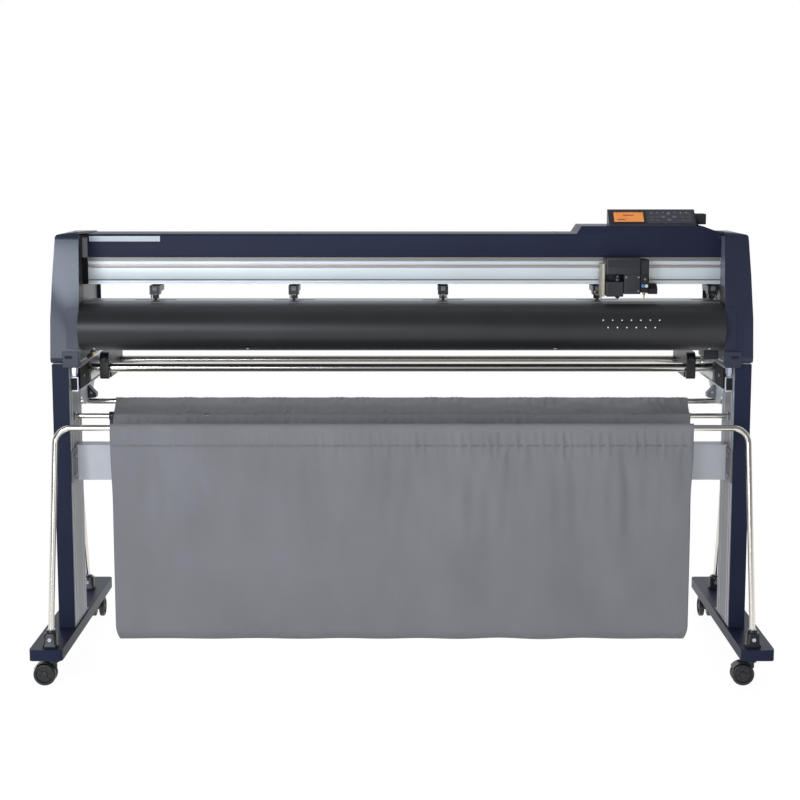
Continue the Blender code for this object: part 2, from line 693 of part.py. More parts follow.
def chassis():
    """The channel under the platen, with the side plates that carry everything else in the head."""
    top = GRIT_Z - GRIT_RADIUS - CHANNEL_DROP
    low = top - CHANNEL_HEIGHT
    wall = CHANNEL_WALL
    outline = [
        (CHANNEL_FRONT, low),
        (CHANNEL_FRONT + wall, low),
        (CHANNEL_FRONT + wall, top - wall),
        (CHANNEL_BACK - wall, top - wall),
        (CHANNEL_BACK - wall, low),
        (CHANNEL_BACK, low),
        (CHANNEL_BACK, top),
        (CHANNEL_FRONT, top),
    ]
    made = solid("chassis", prism(outline, "X", -CLEAR - LAP, CLEAR + LAP), STEEL_PAINT)
    plate = side_outline(SIDE_WALL + GAP, SIDE_TOP - SIDE_DROP)
    for side in SIDES.values():
        join(made, prism(plate, "X", side * CLEAR, side * (CLEAR + PLATE)))
        tab = span(side, CLEAR, CLEAR + PLATE)
        join(made, box(tab, (COLUMN_FRONT, COLUMN_BACK), (HEAD, SIDE_BOTTOM + OVER)))
        flange = span(side, CLEAR + LAP, COLUMN_OUT)
        join(made, box(flange, (COLUMN_FRONT, COLUMN_BACK), (HEAD, HEAD + PLATE)))
    block_top = TOP_TOP - SIDE_FALL
    block = (-CLEAR - LAP, END_BLOCK - CLEAR)
    join(made, box(block, (RAIL_FRONT, RAIL_BACK), (RAIL_BOTTOM, block_top)))
    reach = CLEAR + 2 * OVER
    cut(made, rod("X", -reach, reach, GRIT_ROD_RADIUS + RUN, (0.0, GRIT_Y, GRIT_Z)))
    cut(made, rod("X", -reach, reach, LIFT_RADIUS + RUN, (0.0, LIFT_Y, LIFT_Z)))
    across = BELT_RADIUS + BELT_WAY
    up = BELT_HEIGHT / 2 + BELT_WAY
    cut(made, box((CLEAR - OVER, reach), (BELT_Y - across, BELT_Y + across), (BELT_Z - up, BELT_Z + up)))


def carriage_rail():
    groove_low, groove_high = GROOVE_Z - GROOVE_HEIGHT / 2, GROOVE_Z + GROOVE_HEIGHT / 2
    web = RAIL_FRONT + GROOVE_DEPTH
    outline = [
        (RAIL_BACK, RAIL_BOTTOM),
        (RAIL_FRONT, RAIL_BOTTOM),
        (RAIL_FRONT, groove_low),
        (web, groove_low),
        (web, groove_high),
        (RAIL_FRONT, groove_high),
        (RAIL_FRONT, RAIL_TOP),
        (RAIL_BACK, RAIL_TOP),
        (RAIL_BACK, RAIL_TOP - RAIL_WALL),
        (web + RAIL_WALL, RAIL_TOP - RAIL_WALL),
        (web + RAIL_WALL, RAIL_BOTTOM + RAIL_WALL),
        (RAIL_BACK, RAIL_BOTTOM + RAIL_WALL),
    ]
    solid("carriage_rail", prism(outline, "X", *RAIL_SPAN), ALUMINIUM)


def raised_outline(inset):
    """The raised right end of the top cover, in x and z, which slopes down to the side cover."""
    end = BAY - GAP - inset
    top = RAISED_TOP - inset
    low = (TOP_BOTTOM + TOP_TOP) / 2
    left = RAISED_LEFT + inset
    return [
        (left, low),
        (end, low),
        (end, top - RAISED_FALL),
        (RAISED_RIGHT, top),
        (left + RAISED_RAMP, top),
        (left, TOP_TOP - inset),
    ]


def top_cover():
    left, right, end = RAIL_SPAN[0], BAY - GAP, RAIL_SPAN[1]
    rounds = [0.0, 0.0, TOP_BACK_ROUND, TOP_FRONT_ROUND]
    profile = fillet(rectangle(TOP_FRONT, TOP_BACK, TOP_BOTTOM, TOP_TOP), rounds)
    made = solid("top_cover", prism(profile, "X", left, right), NAVY)
    join(made, prism(raised_outline(0.0), "Y", TOP_FRONT, TOP_BACK))
    wall = TOP_WALL
    tongue = TOP_TOP - TONGUE_DROP
    join(made, box((right - LAP, end), (TOP_FRONT, TOP_BACK - wall), (TOP_BOTTOM, tongue)))
    inside = (TOP_FRONT + wall, TOP_BACK - 2 * wall)
    cut(made, box((left + wall, right - wall), inside, (TOP_BOTTOM - OVER, TOP_TOP - wall)))
    cut(made, box((right - 2 * wall, end - wall), inside, (TOP_BOTTOM - OVER, tongue - wall)))
    cut(made, prism(raised_outline(wall), "Y", *inside))
    ear = (LEVER_X - EAR, LEVER_X + EAR)
    depth = (LEVER_Y - EAR_DEPTH, LEVER_Y + EAR_DEPTH)
    join(made, box(ear, depth, (RAISED_TOP - 2 * LAP, RAISED_TOP + EAR_HEIGHT)))
    pin = LEVER_WIDTH / 2 - 2 * LAP
    join(made, rod("X", -pin, pin, LEVER_PIN, (LEVER_X, LEVER_Y, RAISED_TOP + LEVER_RISE), 16))


def front_cover():
    centre = (SIDE_FRONT - FRONT_OVERHANG + FRONT_BULGE, PLATEN_TOP - FRONT_DROP - FRONT_HALF_HEIGHT)
    path = [(PLATEN_FRONT - 2 * GAP, centre[1] + FRONT_HALF_HEIGHT)]
    path += arc(centre, (FRONT_BULGE, FRONT_HALF_HEIGHT), 90, 270, 22)
    path += [(CHANNEL_FRONT + FRONT_LIP, centre[1] - FRONT_HALF_HEIGHT)]
    reach = BAY - GAP
    solid("front_cover", prism(strip(path, FRONT_WALL), "X", -reach, reach), BLACK_COVER)


def drum_spans():
    """The X range of each grit drum, under the places of the pinch rollers."""
    most = CLEAR - DRUM_END
    return [(x - GRIT_LENGTH / 2, min(x + GRIT_LENGTH / 2, most)) for x in PINCH_PLACES]


def platen():
    centre = (PLATEN_FLAT_BACK, PLATEN_TOP - PLATEN_BEND)
    path = arc(centre, PLATEN_BEND, 20, 90, 8)
    path += arc((PLATEN_FRONT + PLATEN_NOSE, PLATEN_TOP - PLATEN_NOSE), PLATEN_NOSE, 90, 180, 4)
    path += [(PLATEN_FRONT, PLATEN_TOP - PLATEN_LIP)]
    reach = BAY - GAP
    made = solid("platen", prism(strip(path, PLATEN_WALL), "X", -reach, reach), BLACK_COVER)
    slot = (GRIT_Y - GRIT_SLOT, GRIT_Y + GRIT_SLOT)
    for low, high in drum_spans():
        end = high + 2 * LAP if high + 2 * LAP < reach - PLATEN_WALL else reach + OVER
        cut(made, box((low - 2 * LAP, end), slot, (PLATEN_TOP - OVER, PLATEN_TOP + OVER)))


# What moves the media


def grit_shaft():
    end = CLEAR + PLATE + SHAFT_STICK
    profile = [(-end, GRIT_ROD_RADIUS)]
    for low, high in drum_spans():
        profile += [(low, GRIT_ROD_RADIUS), (low, GRIT_RADIUS), (high, GRIT_RADIUS), (high, GRIT_ROD_RADIUS)]
    profile += [(end, GRIT_ROD_RADIUS)]
    solid("grit_shaft", turned(profile, "X"), GRIT, (0.0, GRIT_Y, GRIT_Z))


def pinch_unit(number, x, lift_shaft):
    """A holder that slides along the lift shaft, and its roller."""
    block_top = RAIL_BOTTOM - HOLDER_TOP_GAP - LIFT_Z
    block_front = RAIL_FRONT - LIFT_Y + 2 * LAP
    wheel_y, wheel_z = GRIT_Y - LIFT_Y, PINCH_Z - LIFT_Z
    under = wheel_z + PINCH_RADIUS + ARM_LIFT
    arm = [
        (block_front, block_top),
        (block_front, under),
        (wheel_y + 2 * ARM_STEP, under),
        (wheel_y + 3 * ARM_STEP, under + ARM_STEP),
        (-LIFT_RADIUS / 2, under + ARM_STEP),
        (LIFT_RADIUS, -LIFT_RADIUS),
        (-LIFT_RADIUS, LIFT_RADIUS / 2),
        (-LIFT_RADIUS - ARM_STEP, block_top),
    ]
    half = HOLDER_WIDTH / 2
    place = (x, LIFT_Y, LIFT_Z)
    holder = solid(f"pinch_holder_{number}", prism(arm, "X", -half, half), BLACK_PLASTIC, place, lift_shaft)
    join(holder, rod("X", -half, half, LIFT_BOSS))
    cheek_in = PINCH_WIDTH / 2 + SLIDE
    cheek_out = cheek_in + CHEEK
    depth = (wheel_y - PINCH_RADIUS + LAP / 2, wheel_y + PINCH_RADIUS - LAP / 2)
    for side in SIDES.values():
        join(holder, box(span(side, cheek_in, cheek_out), depth, (wheel_z - PINCH_RADIUS / 2, under + 2 * LAP)))
    cut(holder, rod("X", -cheek_out - LAP, cheek_out + LAP, PINCH_PIN + RUN, (0.0, wheel_y, wheel_z), 12))
    cut(holder, rod("X", -half - OVER, half + OVER, LIFT_RADIUS + RUN))
    tread = PINCH_WIDTH / 2
    axle = cheek_out - GAP
    profile = [(-axle, PINCH_PIN), (-tread, PINCH_PIN), (-tread, PINCH_RADIUS)]
    profile += [(-at, size) for at, size in reversed(profile)]
    solid(f"pinch_wheel_{number}", turned(profile, "X", sides=20), RUBBER, (x, GRIT_Y, PINCH_Z), holder)


def pinch_rollers():
    end = CLEAR + PLATE + SHAFT_STICK / 2
    shaft = solid("pinch_lift_shaft", rod("X", -end, end, LIFT_RADIUS), STEEL, (0.0, LIFT_Y, LIFT_Z))
    for number, x in enumerate(PINCH_PLACES, 1):
        pinch_unit(number, x, shaft)


def set_lever():
    """The lever that lifts the pinch rollers. It forks round the ear on the top cover."""
    low = LEVER_FLOAT - LEVER_RISE
    tip = LEVER_ROUND - LEVER_LENGTH
    outline = arc((0.0, 0.0), LEVER_ROUND, -90, 60, 8)
    outline += [(-2 * LEVER_ROUND, LEVER_HEIGHT + low), (tip, LEVER_HEIGHT + low)]
    outline += [(tip, low), (-LEVER_ROUND, low)]
    half = LEVER_WIDTH / 2
    place = (LEVER_X, LEVER_Y, RAISED_TOP + LEVER_RISE)
    made = solid("set_lever", prism(outline, "X", -half, half), BLACK_PLASTIC, place)
    fork = (-EAR_HEIGHT - LEVER_PIN, 2 * OVER)
    cut(made, box((-EAR - SLIDE, EAR + SLIDE), fork, (-2 * OVER, LEVER_HEIGHT)))
    pocket = half - 1.5 * LAP
    cut(made, rod("X", -pocket, pocket, LEVER_PIN + RUN, sides=16))


# The tool carriage


def carriage():
    half = CARRIAGE_WIDTH / 2
    back, plate = -CARRIAGE_PLATE[0], -CARRIAGE_PLATE[1]
    front = back - CARRIAGE_DEPTH
    low, high = -CARRIAGE_DROP, RAIL_HEIGHT + CARRIAGE_TOP
    origin = (CARRIAGE_X, RAIL_FRONT, RAIL_BOTTOM)
    made = solid("carriage", box((-half, half), (plate, back), (low, high)), CHARCOAL, origin)
    tool_right = TOOL_SIDE + TOOL_WIDTH + 2 * SLIDE - half
    join(made, box((tool_right, half), (front, plate + LAP), (low, high)))
    join(made, box((-half, half), (front + LAP / 2, plate + LAP), (CARRIAGE_SHOULDER, high)))
    runner = GROOVE_HEIGHT / 2 - SLIDE
    groove = GROOVE_Z - RAIL_BOTTOM
    key = half - CUTTER_BOX[0] / 3
    join(made, box((-key, key), (back - LAP, GROOVE_DEPTH - SLIDE), (groove - runner, groove + runner)))
    cutter = (-half - CUTTER_BOX[0], LAP - half)
    join(made, box(cutter, (plate - CUTTER_BOX[1], back - LAP), CUTTER_SPAN))

    tool_x = CARRIAGE_LEFT + TOOL_SIDE + SLIDE + TOOL_WIDTH / 2
    tool_low, tool_high = TOOL_SPAN
    slide = solid(
        "tool_slide",
        box((-TOOL_WIDTH / 2, TOOL_WIDTH / 2), (front, plate - SLIDE), TOOL_SPAN, TOOL_SIDE, 1),
        BLACK_PLASTIC,
        (tool_x, RAIL_FRONT, RAIL_BOTTOM),
        made,
    )
    blade_x, blade_y = TOOL_WIDTH / 2 - BLADE_INSET, BLADE_Y - RAIL_FRONT
    cut(slide, rod("Z", tool_low - OVER, tool_high + OVER, HOLDER_BORE + GAP, (blade_x, blade_y, 0.0)))
    tip = PLATEN_TOP + TOOL_TRAVEL + TIP_GAP - RAIL_BOTTOM
    profile = [(tip + height, radius) for height, radius in TIP_STEPS]
    profile += [
        (tip + TIP_TAPER, HOLDER_BORE),
        (tool_high + GAP, HOLDER_BORE),
        (tool_high + GAP, COLLAR_RADIUS),
        (tool_high + COLLAR_HEIGHT, COLLAR_RADIUS),
        (tool_high + COLLAR_HEIGHT + LAP, KNOB_RADIUS),
        (tool_high + KNOB_HEIGHT, KNOB_RADIUS),
    ]
    place = (tool_x + blade_x, BLADE_Y, RAIL_BOTTOM)
    solid("blade_holder", turned(profile, "Z"), BRASS, place, slide)


def carriage_drive():
    """The carriage's motor, in the right side cover, and its belt, which runs inside the rail."""
    pulley = BELT_RADIUS - BELT_THICK - GAP
    neck = -1.5 * BELT_HEIGHT
    profile = [
        (neck - MOTOR_LENGTH, MOTOR_RADIUS),
        (neck, MOTOR_RADIUS),
        (neck, MOTOR_PIN),
        (neck / 2, MOTOR_PIN),
        (neck / 2, pulley),
        (-neck / 2, pulley),
    ]
    solid("carriage_motor", turned(profile, "Z"), STEEL, (MOTOR_X, BELT_Y, BELT_Z))
    left = END_BLOCK + BELT_INSET - CLEAR
    low, high = BELT_Z - BELT_HEIGHT / 2, BELT_Z + BELT_HEIGHT / 2
    made = solid("drive_belt", prism(loop(left, MOTOR_X, BELT_RADIUS), "Z", low, high), RUBBER)
    cut(made, prism(loop(left, MOTOR_X, BELT_RADIUS - BELT_THICK), "Z", low - OVER, high + OVER))


def loop(left, right, radius):
    """The plan of a belt round two pulleys."""
    return arc((right, BELT_Y), radius, -90, 90, 10) + arc((left, BELT_Y), radius, 90, 270, 10)


# The control panel


def on_panel(across, up):
    """A point of the panel's slope, from its left edge and its front edge."""
    lip = (PANEL_LEFT, TOP_FRONT - 0.002, RAISED_TOP + GAP + PANEL_LIP)
    return (lip[0] + across, lip[1] + up * cos(PANEL_TILT), lip[2] + up * sin(PANEL_TILT))


def key_places():
    across, up = PAD_REACH
    return {
        "up": (PAD_LEFT, PAD_UP + up),
        "down": (PAD_LEFT, PAD_UP - up),
        "left": (PAD_LEFT - across, PAD_UP),
        "right": (PAD_LEFT + across, PAD_UP),
    }


def control_panel():
    rise, run = PANEL_LENGTH * sin(PANEL_TILT), PANEL_LENGTH * cos(PANEL_TILT)
    back = run + PANEL_BACK
    wedge = fillet(
        [(0.0, -PANEL_LIP), (back, -PANEL_LIP), (back, rise), (run, rise), (0.0, 0.0)],
        [0.0, 0.0, *PANEL_ROUNDS],
    )
    made = solid("control_panel", prism(wedge, "X", 0.0, PANEL_WIDTH), CHARCOAL, on_panel(0.0, 0.0))
    wall = PANEL_WALL
    lean = wall / cos(PANEL_TILT)
    inside = [
        (wall, -PANEL_LIP - OVER),
        (back - wall, -PANEL_LIP - OVER),
        (back - wall, rise - wall),
        (run, rise - lean),
        (wall, wall * tan(PANEL_TILT) - lean),
    ]
    cut(made, prism(inside, "X", wall, PANEL_WIDTH - wall))

    size_x, size_y = LCD_SIZE
    opening_x = (LCD_LEFT - GAP, LCD_LEFT + size_x + GAP)
    opening_y = (LCD_UP - GAP, LCD_UP + size_y + GAP)
    cut(made, tilted(box(opening_x, opening_y, (-LCD_DEPTH, OVER))))
    glass = box((0.0, size_x), (0.0, size_y), (GAP - LCD_DEPTH, -GAP))
    solid("lcd_window", glass, LCD, on_panel(LCD_LEFT, LCD_UP), tilt=PANEL_TILT)

    half_x, half_y = KEY_SIZE[0] / 2, KEY_SIZE[1] / 2
    for name, (across, up) in key_places().items():
        opening_x = (across - half_x - KEY_GAP, across + half_x + KEY_GAP)
        opening_y = (up - half_y - KEY_GAP, up + half_y + KEY_GAP)
        cut(made, tilted(box(opening_x, opening_y, (-OVER, OVER))))
        cap = box((-half_x, half_x), (-half_y, half_y), (-KEY_DEPTH, KEY_RISE), KEY_ROUND, 1)
        solid(f"key_{name}", cap, KEY, on_panel(across, up), tilt=PANEL_TILT)


# Behind the stand


def stock_shafts():
    end = BRACKET_WEB + BRACKET_WALL - BRACKET_FLANGE - SHAFT_END
    journal = BRACKET_WEB + BRACKET_WALL - GAP
    profile = [(-journal, JOURNAL_RADIUS), (-end, JOURNAL_RADIUS), (-end, SHAFT_RADIUS)]
    profile += [(-at, size) for at, size in reversed(profile)]
    for name, y in zip(("front", "rear"), SHAFT_YS):
        solid(f"stock_shaft_{name}", turned(profile, "X"), STAINLESS, (0.0, y, SHAFT_Z))


def stock_bracket(name, side):
    """A channel that is open towards the middle, with a lower plate that hooks over the rear basket pipe."""
    top = HEAD - BRACKET_TOP
    low = top - BRACKET_HEIGHT
    web = span(side, BRACKET_WEB, BRACKET_WEB + BRACKET_WALL)
    whole = span(side, BRACKET_WEB + BRACKET_WALL - BRACKET_FLANGE, BRACKET_WEB + BRACKET_WALL)
    made = solid(f"{name}_stock_bracket", box(whole, (BRACKET_FRONT, BRACKET_BACK), (low, top)), PALE_PAINT)
    reach = span(side, BRACKET_WEB - 5 * OVER, BRACKET_WEB + OVER)
    inside = span(side, BRACKET_WEB - 5 * OVER, BRACKET_WEB)
    ends = (BRACKET_FRONT - OVER, BRACKET_BACK + OVER)
    cut(made, box(inside, ends, (low + BRACKET_WALL, top - BRACKET_WALL)))
    plate = [
        (HOOK_FRONT, low + LAP),
        (HOOK_FRONT, low - HOOK_SHOULDERS[0]),
        (HOOK_FRONT + HOOK_SLOPES[0], REAR_BAR[1]),
        (HOOK_BACK - HOOK_SLOPES[1], REAR_BAR[1]),
        (HOOK_BACK, low - HOOK_SHOULDERS[1]),
        (HOOK_BACK, low + LAP),
    ]
    join(made, prism(plate, "X", *web))
    hook = PIPE_RADIUS + 1.5 * LAP
    cut(made, rod("X", *reach, hook, (0.0, *REAR_BAR)))
    mouth = (REAR_BAR[0] - hook, REAR_BAR[0] + 2 * hook)
    cut(made, box(reach, mouth, (REAR_BAR[1] - OVER, REAR_BAR[1])))
    for y in SHAFT_YS:
        cut(made, rod("X", *reach, JOURNAL_RADIUS + RUN, (0.0, y, SHAFT_Z)))


def media_stopper(name, side):
    """A saddle that slides along the two stock shafts, to hold a roll's end."""
    low, high = SHAFT_YS[0] - STOPPER_REACH, SHAFT_YS[1] + STOPPER_REACH
    foot_round, top_round = STOPPER_ROUNDS
    rounds = [foot_round, foot_round, top_round, top_round]
    outline = fillet(rectangle(low, high, -STOPPER_BOTTOM, STOPPER_TOP), rounds)
    middle = side * STOPPER_PLACES[name]
    half = STOPPER_WIDTH / 2
    shape = prism(outline, "X", -half, half)
    made = solid(f"{name}_media_stopper", shape, BLACK_PLASTIC, (middle, 0.0, SHAFT_Z))
    bore = SHAFT_RADIUS + SLIDE
    across = (-half - OVER, half + OVER)
    for y in SHAFT_YS:
        cut(made, rod("X", *across, bore, (0.0, y, 0.0)))
        cut(made, box(across, (y - bore, y + bore), (-STOPPER_BOTTOM - OVER, 0.0)))


# The basket


def basket_pipe(name, bar, socket_y, spread, bend_radius):
    """A U of pipe: two legs that lean out of their sockets, and a bar across."""
    foot_x, top_x = OUTER - spread[0], OUTER - spread[1]
    foot_end = (foot_x, socket_y, FOOT_TOP + PIPE_FLOAT)
    corner = (top_x, *bar)
    right = [foot_end] + bend(corner, foot_end, (0.0, *bar), bend_radius, 8)
    path = right + [(-x, y, z) for x, y, z in reversed(right)]
    pipe(f"basket_{name}_pipe", path, PIPE_RADIUS, STAINLESS)
    half_x, half_y = SOCKET_SIZE[0] / 2, SOCKET_SIZE[1] / 2
    height = (FOOT_TOP + GAP, FOOT_TOP + GAP + SOCKET_HEIGHT)
    low = Vector(foot_end)
    along = (Vector(corner) - low).normalized()
    start, end = low - along * LAP / 2, low + along * 2 * SOCKET_HEIGHT
    for side_name, side in SIDES.items():
        across = (side * foot_x - half_x, side * foot_x + half_x)
        block = box(across, (socket_y - half_y, socket_y + half_y), height, SOCKET_ROUND, 1)
        made = solid(f"{name}_{side_name}_pipe_socket", block, BLACK_PLASTIC)
        ends = [(side * x, y, z) for x, y, z in (start, end)]
        cut(made, aimed_rod(*ends, PIPE_RADIUS + RUN))


def basket():
    basket_pipe("front", FRONT_BAR, FRONT_SOCKET_Y, FRONT_PIPE_SPREAD, FRONT_PIPE_BEND)
    basket_pipe("rear", REAR_BAR, REAR_SOCKET_Y, REAR_PIPE_SPREAD, REAR_PIPE_BEND)
    reach = COLUMN_IN - GAP
    solid("basket_mid_rod", rod("X", -reach, reach, ROD_RADIUS), STAINLESS, (0.0, *MID_BAR))

    float_gap = 2 * GAP
    sleeve = PIPE_RADIUS + float_gap + CLOTH_WALL
    path = arc(FRONT_BAR, sleeve, -CLOTH_LAP, 180, 12)
    fold = (FRONT_BAR[0] - sleeve + CLOTH_FOLD, CLOTH_BOTTOM + CLOTH_FOLD)
    path += arc(fold, CLOTH_FOLD, 180, 345, 10)
    path += arc(MID_BAR, ROD_RADIUS + float_gap, 165, 90, 5)
    path += arc(REAR_BAR, PIPE_RADIUS + float_gap, 90, -CLOTH_LAP, 8)
    cloth = prism(strip(path, CLOTH_WALL), "X", -CLOTH_HALF_WIDTH, CLOTH_HALF_WIDTH)
    for vert in cloth.verts:
        vert.co.x *= 1 + (vert.co.y - BASKET_FRONT_Y) * CLOTH_FLARE / CLOTH_HALF_WIDTH
    solid("basket_cloth", cloth, FABRIC)


for side_name, side_sign in SIDES.items():
    foot(side_name, side_sign)
    column(side_name, side_sign)
    side_cover(side_name, side_sign)
    stock_bracket(side_name, side_sign)
    media_stopper(side_name, side_sign)
casters()
cross_beam()
chassis()
carriage_rail()
top_cover()
front_cover()
platen()
grit_shaft()
pinch_rollers()
set_lever()
carriage()
carriage_drive()
control_panel()
stock_shafts()
basket()
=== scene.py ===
"""The looks of a vinyl cutter on its wheeled stand: finishes, rounded skins, small parts and the cloth."""

import json
import random
from math import cos, exp, hypot, pi, radians, sin

import bmesh
import bpy
from mathutils import Matrix, Vector


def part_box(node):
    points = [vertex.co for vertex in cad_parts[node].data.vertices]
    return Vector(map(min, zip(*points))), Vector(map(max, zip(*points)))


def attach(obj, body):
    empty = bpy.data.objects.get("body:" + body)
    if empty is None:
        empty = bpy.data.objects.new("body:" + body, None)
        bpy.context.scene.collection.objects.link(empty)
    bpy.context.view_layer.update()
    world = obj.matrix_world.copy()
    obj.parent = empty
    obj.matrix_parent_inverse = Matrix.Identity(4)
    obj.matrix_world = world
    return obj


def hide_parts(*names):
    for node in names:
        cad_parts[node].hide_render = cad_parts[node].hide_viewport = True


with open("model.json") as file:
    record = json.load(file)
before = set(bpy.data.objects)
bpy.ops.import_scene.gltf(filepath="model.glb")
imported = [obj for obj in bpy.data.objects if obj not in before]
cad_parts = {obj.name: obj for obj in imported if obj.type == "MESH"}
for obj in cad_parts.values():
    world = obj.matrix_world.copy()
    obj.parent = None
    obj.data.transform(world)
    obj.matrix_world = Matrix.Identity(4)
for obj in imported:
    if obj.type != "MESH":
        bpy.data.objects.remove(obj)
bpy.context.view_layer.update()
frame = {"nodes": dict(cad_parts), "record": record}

BODY_OF = {node: body for body, nodes in frame["record"]["behaviour"]["bodies"].items() for node in nodes}
SLOT_OF = {part["node"]: part["material_slot"] for part in frame["record"]["subparts"]}
BOX = {node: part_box(node) for node in BODY_OF}
SIDES = {"left": -1, "right": 1}
GAP = 0.0003

# ---------------------------------------------------------------- materials


def shader_of(name, colour, roughness, metallic):
    material = bpy.data.materials.new(name)
    material.use_nodes = True
    nodes, join = material.node_tree.nodes, material.node_tree.links
    shader = nodes["Principled BSDF"]
    shader.inputs["Base Color"].default_value = (*colour, 1.0)
    shader.inputs["Roughness"].default_value = roughness
    shader.inputs["Metallic"].default_value = metallic
    return material, nodes, join, shader


def added(nodes, kind, **values):
    """A new shader node with some of its inputs set. An underscore stands for a space in an input's name."""
    made = nodes.new(f"ShaderNode{kind}")
    for name, value in values.items():
        made.inputs[name.replace("_", " ")].default_value = value
    return made


def noise(nodes, join, scale, stretch=(1.0, 1.0, 1.0), detail=3.0, rough=0.55):
    """Noise in the object's own coordinates. A stretch below 1 draws the grain out along that axis."""
    place = added(nodes, "TexCoord")
    spread = added(nodes, "Mapping", Scale=stretch)
    made = added(nodes, "TexNoise", Scale=scale, Detail=detail, Roughness=rough)
    join.new(place.outputs["Object"], spread.inputs["Vector"])
    join.new(spread.outputs["Vector"], made.inputs["Vector"])
    return made.outputs["Fac"]


def ramp(nodes, join, value, low, high, start=0.3, end=0.7):
    """Maps a 0 to 1 value onto a range of numbers."""
    made = added(nodes, "MapRange", From_Min=start, From_Max=end, To_Min=low, To_Max=high)
    join.new(value, made.inputs["Value"])
    return made.outputs["Result"]


def tint(nodes, join, value, dark, light):
    """Mixes two colours by a 0 to 1 value."""
    made = added(nodes, "Mix")
    made.data_type = "RGBA"
    made.inputs["A"].default_value = (*dark, 1.0)
    made.inputs["B"].default_value = (*light, 1.0)
    join.new(value, made.inputs["Factor"])
    return made.outputs["Result"]


def bump(nodes, join, height, distance, strength, shader, normal=None):
    made = added(nodes, "Bump", Strength=strength, Distance=distance)
    join.new(height, made.inputs["Height"])
    if normal:
        join.new(normal, made.inputs["Normal"])
    join.new(made.outputs["Normal"], shader.inputs["Normal"])
    return made.outputs["Normal"]


def finish(
    name,
    colour,
    roughness,
    metallic=0.0,
    shade=0.12,
    patches=4.0,
    grain=700.0,
    depth=0.00006,
    strength=0.5,
    stretch=(1.0, 1.0, 1.0),
    spread=0.06,
    coat=0.0,
    specular=0.5,
):
    """A solid finish: patchy colour and gloss at a large scale, and a fine grain in its bump."""
    material, nodes, join, shader = shader_of(name, colour, roughness, metallic)
    broad = noise(nodes, join, patches)
    fine = noise(nodes, join, grain, stretch)
    dark = tuple(c * (1 - shade) for c in colour)
    light = tuple(min(c * (1 + shade), 1.0) for c in colour)
    blend = ramp(nodes, join, broad, 0.0, 1.0)
    join.new(tint(nodes, join, blend, dark, light), shader.inputs["Base Color"])
    join.new(ramp(nodes, join, fine, roughness - spread, roughness + spread), shader.inputs["Roughness"])
    bump(nodes, join, fine, depth, strength, shader)
    shader.inputs["Coat Weight"].default_value = coat
    shader.inputs["Coat Roughness"].default_value = 0.14
    shader.inputs["Specular IOR Level"].default_value = specular
    return material


def scaled(colour, factor):
    return tuple(c * factor for c in colour)


NAVY_COLOUR = (0.0145, 0.0185, 0.040)
FABRIC_COLOUR = (0.212, 0.209, 0.222)
THREADS = 260.0  # the weave's scale

MATERIALS = {
    "navy_paint": finish(
        "navy_paint", NAVY_COLOUR, 0.40, grain=1400, depth=0.00008, strength=0.35, specular=0.09
    ),
    "navy_plastic": finish(
        "navy_plastic", NAVY_COLOUR, 0.44, grain=1100, depth=0.00010, strength=0.4, specular=0.24, coat=0.35
    ),
    "grey_paint": finish("grey_paint", (0.20, 0.20, 0.21), 0.45, grain=1200, depth=0.00006),
    "pale_paint": finish("pale_paint", (0.56, 0.58, 0.62), 0.42, shade=0.05, grain=1200, depth=0.00005),
    "black_plastic": finish("black_plastic", (0.010, 0.010, 0.012), 0.40, shade=0.2, grain=1300),
    "black_cover": finish(
        "black_cover", (0.017, 0.017, 0.018), 0.40, shade=0.2, grain=1500, depth=0.00007, specular=0.42
    ),
    "charcoal_plastic": finish("charcoal_plastic", (0.016, 0.016, 0.021), 0.42, shade=0.15, grain=1200),
    "aluminium": finish(
        "aluminium", (0.60, 0.65, 0.68), 0.42, 0.38, shade=0.04, grain=500, depth=0.00003,
        stretch=(0.01, 1, 1)
    ),
    "stainless_steel": finish(
        "stainless_steel", (0.72, 0.69, 0.64), 0.16, 1.0, shade=0.05, grain=300, depth=0.00001
    ),
    "bright_steel": finish(
        "bright_steel", (0.58, 0.58, 0.60), 0.28, 1.0, shade=0.05, grain=600, depth=0.00002,
        stretch=(0.05, 1, 1)
    ),
    "grit_steel": finish(
        "grit_steel", (0.22, 0.22, 0.22), 0.75, 0.7, shade=0.3, grain=2600, depth=0.0002, strength=1.0
    ),
    "pinch_rubber": finish("pinch_rubber", (0.030, 0.030, 0.032), 0.75, shade=0.2, grain=1200),
    "wheel_nylon": finish("wheel_nylon", (0.008, 0.008, 0.009), 0.42, shade=0.2, grain=1000),
    "key_plastic": finish("key_plastic", (0.060, 0.060, 0.068), 0.5, shade=0.1, grain=1500),
    "holder_metal": finish("holder_metal", (0.09, 0.09, 0.13), 0.38, 0.8, grain=600, stretch=(1, 1, 0.05)),
}

